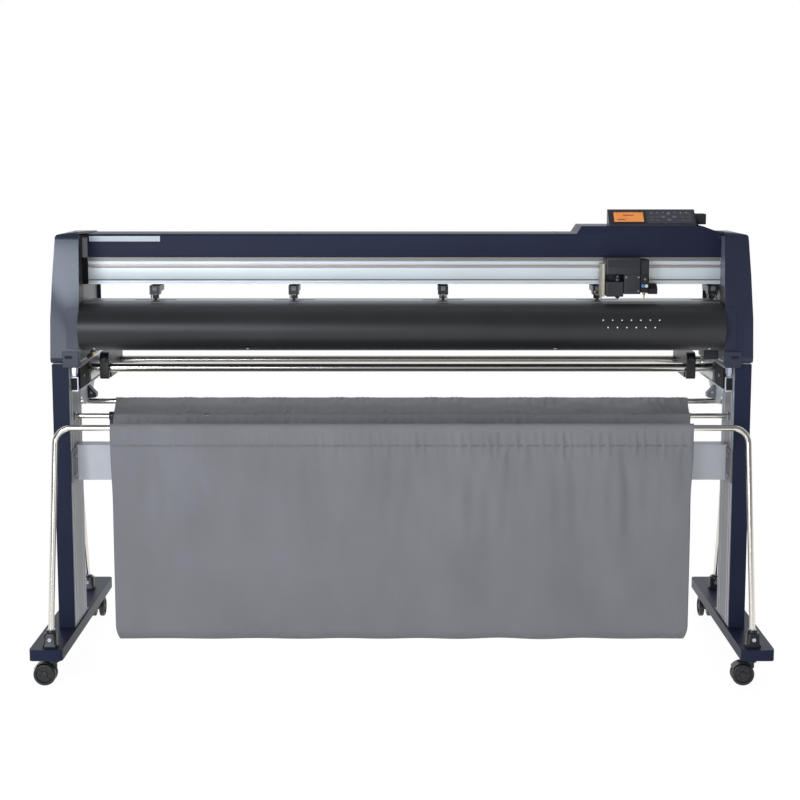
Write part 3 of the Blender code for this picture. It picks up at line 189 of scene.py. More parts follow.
# Finishes of the small pieces that scene.py adds: colour, roughness, metallic and the record's slot.
EXTRAS = {
    "platen_metal": ((0.33, 0.335, 0.34), 0.38, 0.7, "aluminium"),
    "guide_steel": ((0.40, 0.31, 0.29), 0.42, 0.6, "aluminium"),
    "rail_shade": ((0.21, 0.195, 0.19), 0.45, 0.5, "aluminium"),
    # Painted shadow: the dark brown line under the rail's lower lip.
    "rail_groove_shadow": ((0.12, 0.085, 0.075), 0.5, 0.3, "aluminium"),
    "label_silver": ((0.42, 0.45, 0.49), 0.48, 0.2, "pale_paint"),
    "bolt_steel": ((0.52, 0.54, 0.66), 0.30, 0.9, "bright_steel"),
    "zinc_plate": ((0.50, 0.54, 0.50), 0.38, 0.8, "bright_steel"),
    # The next three paint light and shade on the side plates' inner faces: the low faces' shade in dark grey,
    # the shaded left upper face in near-black navy, and the lit right upper face in lighter blue. The
    # near-black navy also colours dark screws and housings.
    "liner_navy": ((0.012, 0.012, 0.020), 0.60, 0.0, "black_plastic"),
    "inner_face_shade_grey": ((0.080, 0.072, 0.062), 0.55, 0.0, "black_plastic"),
    "inner_face_lit_blue": ((0.150, 0.155, 0.220), 0.45, 0.0, "navy_plastic"),
    "lever_black": ((0.006, 0.006, 0.007), 0.60, 0.0, "black_plastic"),
    "grey_shell": ((0.135, 0.135, 0.140), 0.45, 0.0, "charcoal_plastic"),
    "cream_plate": ((0.36, 0.33, 0.26), 0.40, 0.3, "pale_paint"),
    "brass": ((0.50, 0.36, 0.14), 0.35, 0.9, "holder_metal"),
    "blue_plastic": ((0.10, 0.22, 0.55), 0.40, 0.0, "key_plastic"),
    "membrane": ((0.036, 0.033, 0.048), 0.42, 0.0, "key_plastic"),
    "dark_slot": ((0.004, 0.004, 0.005), 0.75, 0.0, "black_plastic"),
    "white_mark": ((0.80, 0.80, 0.80), 0.45, 0.0, "pale_paint"),
    "read_out": ((0.22, 0.055, 0.02), 0.5, 0.0, "lcd_orange"),
    "key_face": ((0.10, 0.095, 0.12), 0.42, 0.0, "key_plastic"),
    "pad_mark": ((0.34, 0.30, 0.42), 0.45, 0.0, "key_plastic"),
    "stitch_thread": ((0.12, 0.12, 0.135), 0.8, 0.0, "basket_fabric"),
}
for extra, (colour, roughness, metallic, _) in EXTRAS.items():
    MATERIALS[extra] = finish(extra, colour, roughness, metallic, shade=0.08, grain=1200, depth=0.00004)


def lit_window():
    """The orange display: a soft backlight under clear plastic."""
    material, nodes, join, shader = shader_of("lcd_orange", (0.60, 0.19, 0.04), 0.30, 0.0)
    glow = ramp(nodes, join, noise(nodes, join, 18.0), 0.0, 1.0)
    colour = tint(nodes, join, glow, (0.56, 0.17, 0.035), (0.66, 0.24, 0.055))
    join.new(colour, shader.inputs["Base Color"])
    join.new(colour, shader.inputs["Emission Color"])
    shader.inputs["Emission Strength"].default_value = 0.34
    return material


def woven(name, colour):
    """Plain weave: threads both ways in the bump and colour, a soft mottle, creases and a little sheen."""
    material, nodes, join, shader = shader_of(name, colour, 0.85, 0.0)
    place = added(nodes, "TexCoord")
    threads = []
    for direction in ("X", "Z"):
        wave = added(nodes, "TexWave", Scale=THREADS, Distortion=1.5, Detail=1.0)
        wave.bands_direction = direction
        join.new(place.outputs["Object"], wave.inputs["Vector"])
        threads.append(wave.outputs["Fac"])
    weave = added(nodes, "Math")
    weave.operation = "MULTIPLY"
    join.new(threads[0], weave.inputs[0])
    join.new(threads[1], weave.inputs[1])
    mottle = ramp(nodes, join, noise(nodes, join, 7.0, (1.0, 1.0, 0.6), 5.0), 0.0, 1.0)
    base = tint(nodes, join, mottle, scaled(colour, 0.93), scaled(colour, 1.07))
    mix = added(nodes, "Mix")
    mix.data_type = "RGBA"
    mix.blend_type = "MULTIPLY"
    mix.inputs["Factor"].default_value = 1.0
    join.new(base, mix.inputs["A"])
    join.new(
        tint(nodes, join, weave.outputs["Value"], (0.82, 0.82, 0.82), (1.0, 1.0, 1.0)), mix.inputs["B"]
    )
    join.new(mix.outputs["Result"], shader.inputs["Base Color"])
    creases = noise(nodes, join, 16.0, (1.0, 1.0, 0.30), 4.0, 0.6)
    soft = bump(nodes, join, creases, 0.0040, 0.35, shader)
    bump(nodes, join, weave.outputs["Value"], 0.0003, 0.5, shader, soft)
    shader.inputs["Sheen Weight"].default_value = 0.10
    shader.inputs["Sheen Roughness"].default_value = 0.5
    shader.inputs["Specular IOR Level"].default_value = 0.22
    return material


MATERIALS["lcd_orange"] = lit_window()
MATERIALS["basket_fabric"] = woven("basket_fabric", FABRIC_COLOUR)

# ---------------------------------------------------------------- making pieces


def put(name, mesh, surface, body="frame", angle=35):
    """Adds a mesh as a piece that rides on a body."""
    made = bpy.data.objects.new(name, mesh)
    bpy.context.scene.collection.objects.link(made)
    mesh.materials.clear()
    mesh.materials.append(MATERIALS[surface])
    mesh.shade_smooth()
    mesh.set_sharp_from_angle(angle=radians(angle))
    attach(made, body)
    return made


def piece(name, shapes, surface, body="frame", angle=35, edge=0.0, segments=2):
    """One piece from one or more closed shapes, with its edges rounded by edge."""
    shapes = shapes if isinstance(shapes, list) else [shapes]
    mesh = bpy.data.meshes.new(name)
    whole = bmesh.new()
    for shape in shapes:
        bmesh.ops.recalc_face_normals(shape, faces=shape.faces)
        shape.to_mesh(mesh)
        shape.free()
        whole.from_mesh(mesh)
    whole.to_mesh(mesh)
    whole.free()
    made = put(name, mesh, surface, body, angle)
    if edge:
        soften(made, edge, segments)
    return made


def soften(obj, width, segments=2, angle=30):
    """Rounds a piece's edges."""
    bevel = obj.modifiers.new("rounded_edges", "BEVEL")
    bevel.width = width
    bevel.segments = segments
    bevel.limit_method = "ANGLE"
    bevel.angle_limit = radians(angle)
    bevel.harden_normals = True
    return obj


def skin(node, width=0.0, segments=2, surface=None, angle=30):
    """Stands for a CAD node: its own shape with its flat faces merged and its edges rounded."""
    source = frame["nodes"][node]
    shape = bmesh.new()
    shape.from_mesh(source.data)
    bmesh.ops.remove_doubles(shape, verts=shape.verts, dist=0.00001)
    bmesh.ops.dissolve_limit(
        shape, angle_limit=radians(0.5), verts=shape.verts, edges=shape.edges, use_dissolve_boundaries=False
    )
    made = piece(f"{node}_skin", shape, surface or SLOT_OF[node], BODY_OF[node])
    if width:
        soften(made, width, segments, angle)
    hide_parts(node)
    return made


def arc(centre, radius, start, end, steps=8):
    """Points round a circle, with its angles in degrees."""
    turns = [radians(start + (end - start) * step / steps) for step in range(steps + 1)]
    return [(centre[0] + radius * cos(turn), centre[1] + radius * sin(turn)) for turn in turns]


def fillet(corners, radii, steps=4):
    """A closed outline with its corners rounded. Each corner has its own radius."""
    made = []
    count = len(corners)
    for index, corner in enumerate(corners):
        here = Vector(corner)
        back = (Vector(corners[index - 1]) - here).normalized()
        on = (Vector(corners[(index + 1) % count]) - here).normalized()
        radius = radii if isinstance(radii, float) else radii[index]
        half = back.angle(on) / 2
        if radius == 0 or half > pi / 2 - 0.01:
            made.append(tuple(here))
            continue
        reach = radius / (sin(half) / cos(half))
        centre = here + (back + on).normalized() * (radius / sin(half))
        first = here + back * reach - centre
        turn = first.angle_signed(here + on * reach - centre)
        for step in range(steps + 1):
            angle = -turn * step / steps
            spun = (
                first.x * cos(angle) - first.y * sin(angle), first.x * sin(angle) + first.y * cos(angle)
            )
            made.append((centre.x + spun[0], centre.y + spun[1]))
    return made


# For each axis: the other two, in order, and the axis itself.
AXES = {
    "X": ((0, 1, 0), (0, 0, 1), (1, 0, 0)),
    "Y": ((1, 0, 0), (0, 0, 1), (0, 1, 0)),
    "Z": ((1, 0, 0), (0, 1, 0), (0, 0, 1)),
}


def lofted(rings):
    """A closed shape through rings of points. Each ring has as many points as the next."""
    shape = bmesh.new()
    made = [[shape.verts.new(point) for point in ring] for ring in rings]
    count = len(made[0])
    for low, high in zip(made, made[1:]):
        for index in range(count):
            after = (index + 1) % count
            shape.faces.new([low[index], low[after], high[after], high[index]])
    shape.faces.new(made[0])
    shape.faces.new(made[-1])
    return shape


def prism(outline, axis, start, end):
    """An outline drawn out along an axis. Its two coordinates are the other axes, in order."""
    across, up, along = (Vector(way) for way in AXES[axis])
    return lofted([[across * a + up * b + along * reach for a, b in outline] for reach in (start, end)])


def rect(across, up):
    """The corners of a rectangle between two values on each of its axes."""
    return [(across[0], up[0]), (across[1], up[0]), (across[1], up[1]), (across[0], up[1])]


def span(side, near, far):
    """Two distances from the middle, as ordered X values on one side."""
    return sorted((side * near, side * far))


def block(x, y, z):
    """A box between two values on each axis."""
    return prism(rect(y, z), "X", *x)


def turned(profile, axis, centre, steps=28):
    """A profile of (distance along the axis, radius) turned round an axis through centre."""
    across, up, along = (Vector(way) for way in AXES[axis])
    middle = Vector(centre)
    turns = [2 * pi * step / steps for step in range(steps)]
    ways = [across * cos(turn) + up * sin(turn) for turn in turns]
    return lofted([[middle + along * reach + way * radius for way in ways] for reach, radius in profile])


def rod(axis, centre, start, end, radius, round_by=0.0006, steps=24):
    """A round bar with softened ends, from start to end along its axis from centre."""
    cut = min(round_by, radius * 0.4)
    profile = [(start, radius - cut), (start + cut * 0.3, radius - cut * 0.3), (start + cut, radius)]
    profile += [(end - cut, radius), (end - cut * 0.3, radius - cut * 0.3), (end, radius - cut)]
    return turned(profile, axis, centre, steps)


def moved(shape, x=0.0, y=0.0, z=0.0):
    bmesh.ops.translate(shape, verts=shape.verts, vec=(x, y, z))
    return shape


def tilted(shape, degrees, axis, about):
    """Turns a shape about a line through a point."""
    bmesh.ops.rotate(
        shape, verts=shape.verts, cent=about, matrix=Matrix.Rotation(radians(degrees), 3, axis)
    )
    return shape


def hexagon(axis, centre, start, end, across_flats):
    """A hexagonal nut or bolt head."""
    radius = across_flats / 2 / cos(pi / 6)
    chamfer = min(0.0006, radius * 0.15)
    return turned(
        [
            (start, radius), (end - chamfer * (1 if end > start else -1), radius),
            (end, radius - chamfer * 1.5)
        ],
        axis, centre, 6
    )


def screw(axis, centre, out, radius, surface, name, body="frame"):
    """A pan-head screw with a cross recess, standing out of a face. out is +1 or -1 along the axis."""
    rise = radius * 0.55
    dome = [
        (-0.0003 * out, radius), (rise * 0.45 * out, radius), (rise * 0.85 * out, radius * 0.72),
        (rise * out, radius * 0.35)
    ]
    piece(name, turned(dome, axis, centre, 20), surface, body, angle=50)
    across, up, along = (Vector(way) for way in AXES[axis])
    slots = []
    for one, other in ((across, up), (up, across)):
        middle = Vector(centre) + along * out * rise
        ends = [
            middle + along * s * radius * 0.06 + one * a * radius * 0.42 + other * b * radius * 0.1
            for s in (-1, 1) for a in (-1, 1) for b in (-1, 1)
        ]
        low = [min(end[i] for end in ends) for i in range(3)]
        high = [max(end[i] for end in ends) for i in range(3)]
        slots.append(block((low[0], high[0]), (low[1], high[1]), (low[2], high[2])))
    piece(f"{name}_recess", slots, "dark_slot", body)


# ---------------------------------------------------------------- the CAD nodes' finishes

for node_name, node_object in frame["nodes"].items():
    node_object.data.materials.clear()
    node_object.data.materials.append(MATERIALS[SLOT_OF[node_name]])

# ---------------------------------------------------------------- camera, light and floor

CAMERA_DISTANCE = 4.7917
CAMERA_HEIGHT = 1.3999
CAMERA_PITCH = radians(8.0895)
FOCAL_OVER_WIDTH = 2.15453
SENSOR = 36.0
FLOOR_GLOW = 0.90


def seen_only(nodes, join, plain, shown, output, glossy=False):
    """The shown shader for camera rays, and with glossy for mirrored ones. Other rays get the plain one."""
    ray = added(nodes, "LightPath")
    mix = added(nodes, "MixShader")
    seen = ray.outputs["Is Camera Ray"]
    if glossy:
        both = added(nodes, "Math")
        both.operation = "MAXIMUM"
        join.new(seen, both.inputs[0])
        join.new(ray.outputs["Is Glossy Ray"], both.inputs[1])
        seen = both.outputs["Value"]
    join.new(seen, mix.inputs["Fac"])
    join.new(plain, mix.inputs[1])
    join.new(shown, mix.inputs[2])
    join.new(mix.outputs["Shader"], output)


def studio():
    scene = bpy.context.scene
    scene.view_settings.view_transform = "Standard"
    camera = bpy.data.cameras.new("camera")
    camera.sensor_width = SENSOR
    camera.lens = FOCAL_OVER_WIDTH * SENSOR
    camera.shift_x = -0.0022
    holder = bpy.data.objects.new("camera", camera)
    scene.collection.objects.link(holder)
    holder.location = (0.0, -CAMERA_DISTANCE, CAMERA_HEIGHT)
    holder.rotation_euler = (pi / 2 - CAMERA_PITCH, 0.0, 0.0)
    scene.camera = holder

    world = bpy.data.worlds.new("studio")
    world.use_nodes = True
    scene.world = world
    nodes, join = world.node_tree.nodes, world.node_tree.links
    soft = nodes["Background"]
    soft.inputs["Color"].default_value = (0.93, 0.96, 1.0, 1.0)
    place = added(nodes, "TexCoord")
    parts = added(nodes, "SeparateXYZ")
    join.new(place.outputs["Generated"], parts.inputs["Vector"])
    behind = ramp(nodes, join, parts.outputs["Y"], 0.26, 1.15, 0.05, 0.75)
    join.new(behind, soft.inputs["Strength"])
    white = added(nodes, "Background", Color=(1.0, 1.0, 1.0, 1.0), Strength=1.0)
    seen_only(
        nodes, join, soft.outputs["Background"], white.outputs["Background"],
        nodes["World Output"].inputs["Surface"]
    )

    for name, place, size, power, tone, aim, mirrored in (
        ("key_light", (-2.1, -4.0, 2.15), (1.4, 0.8), 66.0, (0.80, 0.89, 1.0), (-0.7, 0.0, 1.0), True),
        ("front_light", (-1.9, -5.6, 0.95), (2.2, 1.3), 62.0, (0.92, 0.96, 1.0), (-0.3, 0.0, 0.8), True),
        ("wide_light", (0.5, -5.0, 1.55), (3.0, 2.0), 88.0, (1.0, 1.0, 1.0), (0.0, 0.0, 0.7), False),
        ("top_light", (0.0, 0.8, 3.4), (3.4, 1.6), 28.0, (1.0, 1.0, 1.0), (0.0, 0.0, 0.6), False),
    ):
        lamp = bpy.data.lights.new(name, "AREA")
        lamp.shape = "RECTANGLE"
        lamp.size, lamp.size_y = size
        lamp.energy = power
        lamp.color = tone
        holder = bpy.data.objects.new(name, lamp)
        scene.collection.objects.link(holder)
        holder.location = place
        holder.rotation_euler = (Vector(aim) - Vector(place)).to_track_quat("-Z", "Y").to_euler()
        holder.visible_glossy = mirrored


def floor():
    """A plain pale floor, which the camera sees lifted to white under its soft shadows."""
    material, nodes, join, shader = shader_of("studio_floor", (0.86, 0.86, 0.87), 0.8, 0.0)
    blend = ramp(nodes, join, noise(nodes, join, 2.0), 0.0, 1.0)
    join.new(tint(nodes, join, blend, (0.84, 0.84, 0.85), (0.88, 0.88, 0.89)), shader.inputs["Base Color"])
    shader.inputs["Specular IOR Level"].default_value = 0.1
    glow = added(nodes, "Emission")
    lifted = added(nodes, "MixShader")
    lifted.inputs["Fac"].default_value = FLOOR_GLOW
    join.new(shader.outputs["BSDF"], lifted.inputs[1])
    join.new(glow.outputs["Emission"], lifted.inputs[2])
    glow.inputs["Strength"].default_value = 1.06
    seen_only(
        nodes, join, shader.outputs["BSDF"], lifted.outputs["Shader"],
        nodes["Material Output"].inputs["Surface"], True
    )
    shape = bmesh.new()
    bmesh.ops.create_grid(shape, x_segments=1, y_segments=1, size=12.0)
    mesh = bpy.data.meshes.new("studio_floor")
    shape.to_mesh(mesh)
    shape.free()
    mesh.materials.append(material)
    ground = bpy.data.objects.new("studio_floor", mesh)
    bpy.context.scene.collection.objects.link(ground)


studio()
floor()

# ---------------------------------------------------------------- the stand


def stand_frame():
    for name in ("left_foot", "right_foot"):
        skin(name, 0.0030, 3)
    for name in ("left_column_cover", "right_column_cover", "cross_beam"):
        skin(name, 0.0010)
    for name, side in SIDES.items():
        skin(f"{name}_column", 0.0006)
        inner = BOX[f"{name}_column"][0][0] if side > 0 else BOX[f"{name}_column"][1][0]
        low, high = BOX[f"{name}_column"][0][2], BOX[f"{name}_column"][1][2]
        ribs = []
        for y in (-0.168, -0.142, -0.046, -0.020):
            face = sorted((inner + side * 0.0004, inner - side * 0.0009))
            ribs.append(block(face, (y - 0.0022, y + 0.0022), (low + 0.004, high - 0.004)))
        piece(f"{name}_column_ribs", ribs, "pale_paint", edge=0.0004)
        beam = BOX["cross_beam"]
        across = span(side, 0.8982, 0.8946)
        flange = block(across, (-0.176, -0.1005), (beam[0][2] + 0.004, beam[1][2] - 0.004))
        piece(f"{name}_beam_flange", flange, "grey_paint", edge=0.0008)
        for count, z in enumerate((beam[0][2] + 0.022, beam[1][2] - 0.022)):
            place = (side * 0.8946, -0.140, z)
            head = hexagon("X", place, 0.0, -side * 0.0045, 0.010)
            piece(f"{name}_beam_bolt_{count}", head, "bolt_steel", angle=20)


def foot_fittings():
    """The base plates, and the bolts that hold the columns down."""
    for name, side in SIDES.items():
        top = BOX[f"{name}_foot"][1][2]
        for count, (x, y) in enumerate(((0.9080, 0.014), (0.9300, 0.014))):
            washer = rod("Z", (side * x, y, top), -0.0002, 0.0012, 0.0075)
            piece(f"{name}_base_washer_{count}", washer, "bolt_steel")
            head = hexagon("Z", (side * x, y, top), 0.0010, 0.0062, 0.010)
            piece(f"{name}_base_bolt_{count}", head, "bolt_steel", angle=20)
        toe = block(span(side, 0.8985, 0.9395), (-0.0045, 0.026), (top, top + 0.0030))
        piece(f"{name}_base_plate", toe, "grey_paint", edge=0.0012)


def pipe_sockets():
    # Each pipe's lean, outwards and backwards, over its rise.
    for end, lean, rise in (("front", (-0.016, 0.060), 0.575), ("rear", (-0.004, -0.170), 0.590)):
        for name, side in SIDES.items():
            node = f"{end}_{name}_pipe_socket"
            low, high = BOX[node]
            middle = ((low[0] + high[0]) / 2, (low[1] + high[1]) / 2)
            half = ((high[0] - low[0]) / 2, (high[1] - low[1]) / 2)
            rings = []
            for z, share, corner in (
                (low[2], 1.0, 0.006),
                (low[2] + 0.0050, 1.0, 0.006),
                (low[2] + 0.0075, 0.90, 0.007),
                (high[2] - 0.0120, 0.84, 0.008),
                (high[2] - 0.0095, 0.80, 0.009),
                (high[2] - 0.0090, 0.72, 0.009),
            ):
                reach = [(-size * share, size * share) for size in half]
                outline = fillet(rect(*reach), corner, 5)
                rings.append([(middle[0] + a, middle[1] + b, z) for a, b in outline])
            shape = lofted(rings)
            body = piece(f"{node}_body", shape, "black_plastic", angle=40)
            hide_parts(node)
            shift = (0.040 / rise) * (lean[0] * side), (0.040 / rise) * lean[1]
            centre = (middle[0] + shift[0] * 0.9, middle[1] + shift[1] * 0.9, 0.0)
            collar = [
                (high[2] - 0.0092, 0.0132), (high[2] - 0.0030, 0.0132), (high[2] - 0.0018, 0.0124),
                (high[2] - 0.0018, 0.0084)
            ]
            piece(f"{node}_collar", turned(collar, "Z", centre, 32), "black_plastic")
            ring = [
                (high[2] - 0.0022, 0.0108), (high[2] - 0.0006, 0.0108), (high[2], 0.0102), (high[2], 0.0082)
            ]
            piece(f"{node}_ring", turned(ring, "Z", centre, 32), "bolt_steel")
            front = low[1] + half[1] * 0.12
            knob = [
                (0.0, 0.0062), (-0.0022, 0.0062), (-0.0030, 0.0054), (-0.0030, 0.0030), (-0.0016, 0.0028)
            ]
            piece(
                f"{node}_clamp", turned(knob, "Y", (middle[0], front, low[2] + 0.020), 6), "bolt_steel",
                angle=20
            )


def caster_wheel(name, place, axle_axis, shift, body, fork_body):
    """Twin wheels with a recessed hub each, and the hood over them."""
    near, far, radius = 0.00555, 0.02055, 0.0300
    half = [(near, 0.0040), (near, 0.0262), (near + 0.0010, 0.0288), (near + 0.0035, radius)]
    half += [(far - 0.0052, radius), (far - 0.0022, 0.0291), (far - 0.0005, 0.0268), (far, 0.0240)]
    half += [(far, 0.0222), (far - 0.0006, 0.0216), (far - 0.0034, 0.0205), (far - 0.0034, 0.0095)]
    half += [(far - 0.0010, 0.0082), (far - 0.0004, 0.0060), (far - 0.0004, 0.0005)]
    profile = [(-at, size) for at, size in reversed(half)] + half
    centre = (place[0] + shift[0], place[1] + shift[1], radius)
    wheels = piece(f"{name}_tyres", turned(profile, axle_axis, centre, 48), "wheel_nylon", body, angle=40)
    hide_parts(name)
    spokes = []
    for end in (-1, 1):
        for turn in range(6):
            ray = block(
                sorted((end * (far - 0.0036), end * (far - 0.0016))), (-0.0011, 0.0011), (0.0080, 0.0212)
            )
            tilted(ray, turn * 60 + 15, "X", (0, 0, 0))
            if axle_axis == "Y":
                tilted(ray, 90, "Z", (0, 0, 0))
            spokes.append(moved(ray, *centre))
    piece(f"{name}_spokes", spokes, "wheel_nylon", body, edge=0.0003)
    outline = arc((0.0, 0.0), radius + 0.0010, 30, 128, 14)
    outline += reversed(arc((0.0, 0.0), radius + 0.0027, 30, 128, 14))
    hood = prism(outline, "Y", -far + 0.002, far - 0.002)
    if min(shift) < 0:
        tilted(hood, 180, "Z", (0, 0, 0))
    if axle_axis == "X":
        tilted(hood, 90, "Z", (0, 0, 0))
    piece(f"{name}_hood", moved(hood, *centre), "black_plastic", fork_body, angle=40, edge=0.0006)


def casters():
    for end, axle_axis, way in (("front", "Y", (-0.021, 0.0)), ("rear", "X", (0.0, 0.021))):
        for name, side in SIDES.items():
            place = (side * 0.930, -0.335 if end == "front" else 0.335)
            skin(f"caster_fork_{end}_{name}", 0.0006)
            wheels = f"caster_wheels_{end}_{name}"
            caster_wheel(wheels, place, axle_axis, way, f"wheels_{end}_{name}", f"fork_{end}_{name}")


def stock_supports():
    for name, side in SIDES.items():
        skin(f"{name}_stock_bracket", 0.0007)
        for count, depth in enumerate(((-0.098, 0.034), (0.066, 0.222))):
            lining = block(span(side, 0.8822, 0.8948), depth, (0.7660, 0.8240))
            # The front lining is painted shade: a near-black sheet inside the channel, where its inner side
            # lies in shadow.
            surface = "dark_slot" if count == 0 else "zinc_plate"
            piece(f"{name}_channel_filler_{count}", lining, surface, edge=0.001)
        outline = [(0.8945, 0.7515), (0.8710, 0.7270), (0.8715, 0.7155), (0.8860, 0.7135), (0.8945, 0.7140)]
        clip = prism(fillet([(side * x, z) for x, z in outline], 0.0012, 2), "Y", 0.074, 0.106)
        # Painted light on one black plastic clip: the right clip is painted grey where the key lamp lights
        # it, and the left clip black where it is shaded.
        piece(f"{name}_pipe_clip", clip, "grey_shell" if side > 0 else "black_plastic", edge=0.0012)
        screw("Y", (side * 0.8850, 0.074, 0.7300), -1, 0.0032, "bolt_steel", f"{name}_clip_screw")
        ring_out = rect((side * 0.8775, side * 0.8985), (0.7655, 0.8040))
        piece(f"{name}_bracket_end", prism(ring_out, "Y", -0.1585, -0.1505), "bolt_steel", edge=0.0008)
        # A near-black sheet inside the end's ring paints the shade in the hollow channel.
        inner = block(span(side, 0.8795, 0.8965), (-0.1588, -0.1570), (0.7680, 0.8015))
        piece(f"{name}_bracket_end_hollow", inner, "dark_slot")
        for count, y in enumerate((-0.070, 0.150)):
            head = hexagon("X", (side * 0.8822, y + 0.02, 0.795), 0.0, -side * 0.003, 0.009)
            piece(f"{name}_bracket_bolt_{count}", head, "bolt_steel", angle=20)
    for name in ("stock_shaft_front", "stock_shaft_rear"):
        skin(name, 0.0008)
    for name in ("left", "right"):
        node = f"{name}_media_stopper"
        skin(node, 0.0022, 3)
        low, high = BOX[node]
        middle = (low[0] + high[0]) / 2
        knob = [(0.0, 0.0070), (-0.0060, 0.0070), (-0.0075, 0.0060), (-0.0075, 0.0030)]
        grip = turned(knob, "Y", (middle, low[1], 0.8300), 24)
        piece(f"{node}_knob", grip, "black_plastic", f"{name}_stopper", angle=40)
        faces = []
        for x, out in ((low[0], -1), (high[0], 1)):
            plate = fillet([(0.046, 0.822), (0.244, 0.822), (0.240, 0.840), (0.050, 0.840)], 0.006, 3)
            faces.append(prism(plate, "X", *sorted((x, x + out * 0.0008))))
        piece(f"{node}_faces", faces, "charcoal_plastic", f"{name}_stopper", edge=0.0003)


def basket_bars():
    for name in ("basket_front_pipe", "basket_rear_pipe", "basket_mid_rod"):
        skin(name)
    bar_y, bar_z = -0.106, 0.690
    clip = [(-0.8040, 0.0090), (-0.8030, 0.0118), (-0.7925, 0.0118), (-0.7915, 0.0090)]
    piece("rod_clip", turned(clip, "X", (0.0, bar_y, bar_z), 28), "black_plastic")
    tail = fillet(rect((bar_y - 0.0060, bar_y + 0.0060), (0.668, 0.690)), 0.003, 3)
    piece("rod_clip_tail", prism(tail, "X", -0.8025, -0.7930), "black_plastic", edge=0.0008)
    for name, side in SIDES.items():
        cap = [(0.0, 0.0105), (-side * 0.0022, 0.0105), (-side * 0.0030, 0.0096), (-side * 0.0030, 0.0072)]
        piece(f"{name}_rod_flange", turned(cap, "X", (side * 0.8978, bar_y, bar_z), 28), "bolt_steel")


def under_head():
    """What shows below the head at its two ends: lugs, bolts and the drive's housing."""
    for name, side in SIDES.items():
        lug = fillet(rect((side * 0.8668, side * 0.9105), (0.8345, 0.8780)), 0.0025, 3)
        piece(f"{name}_lug", prism(lug, "Y", -0.2015, -0.1862), "navy_plastic", edge=0.0012)
        hole = fillet(rect((side * 0.8835, side * 0.9040), (0.8585, 0.8665)), 0.0015, 3)
        piece(f"{name}_lug_recess", prism(hole, "Y", -0.2018, -0.2005), "dark_slot")
        stem = turned(
            [(0.8110, 0.0062), (0.8120, 0.0074), (0.8180, 0.0074), (0.8190, 0.0098), (0.8345, 0.0098)],
            "Z", (side * 0.8800, -0.1940, 0.0), 6
        )
        piece(f"{name}_lug_bolt", stem, "bolt_steel", angle=20)
    housing = block((0.8270, 0.8660), (-0.110, -0.055), (0.8465, 0.8790))
    piece("drive_housing", housing, "liner_navy", edge=0.0025)
    piece(
        "drive_housing_lip", block((0.8190, 0.8275), (-0.104, -0.062), (0.8550, 0.8720)), "grey_shell",
        edge=0.0015
    )
    for count, (x, z) in enumerate(((-0.8600, 0.8510), (-0.8480, 0.8605), (-0.8560, 0.8640))):
        stud = rod("Y", (x, 0.0, z), -0.090 + 0.012 * count, -0.040, 0.0048 - 0.0008 * count)
        piece(f"left_sensor_{count}", stud, "brass" if count == 1 else "liner_navy")


stand_frame()
foot_fittings()
pipe_sockets()
casters()
stock_supports()
basket_bars()
under_head()

# ---------------------------------------------------------------- the head's covers and rail

BAY = 0.8665  # the side covers' open inner edges
CLEAR = 0.8770  # the side plates' inner faces
COVER_CENTRE = (-0.1340, 0.9384)
COVER_REACH = (0.0810, 0.0636)
COVER_WALL = 0.0025
PAD_SPAN = (0.8850, 0.9940)  # the lower pad of a side cover, in height
PAD_SIDES = (0.8672, 0.8980)
LINER_BACK = -0.0520
RAIL_FRONT = -0.050
RAIL_SPAN = (1.0482, 1.1215)


def side_front(z):
    """Where the side covers' leaning fronts are at this height."""
    return -0.1998 + 0.044 * (z - 0.8458) / 0.3512


def cover_point(turn, inset=0.0):
    """A point of the front cover's section, from 90 at its top edge to 270 at its bottom one."""
    return (
        COVER_CENTRE[0] + (COVER_REACH[0] - inset) * cos(radians(turn)),
        COVER_CENTRE[1] + (COVER_REACH[1] - inset) * sin(radians(turn)),
    )


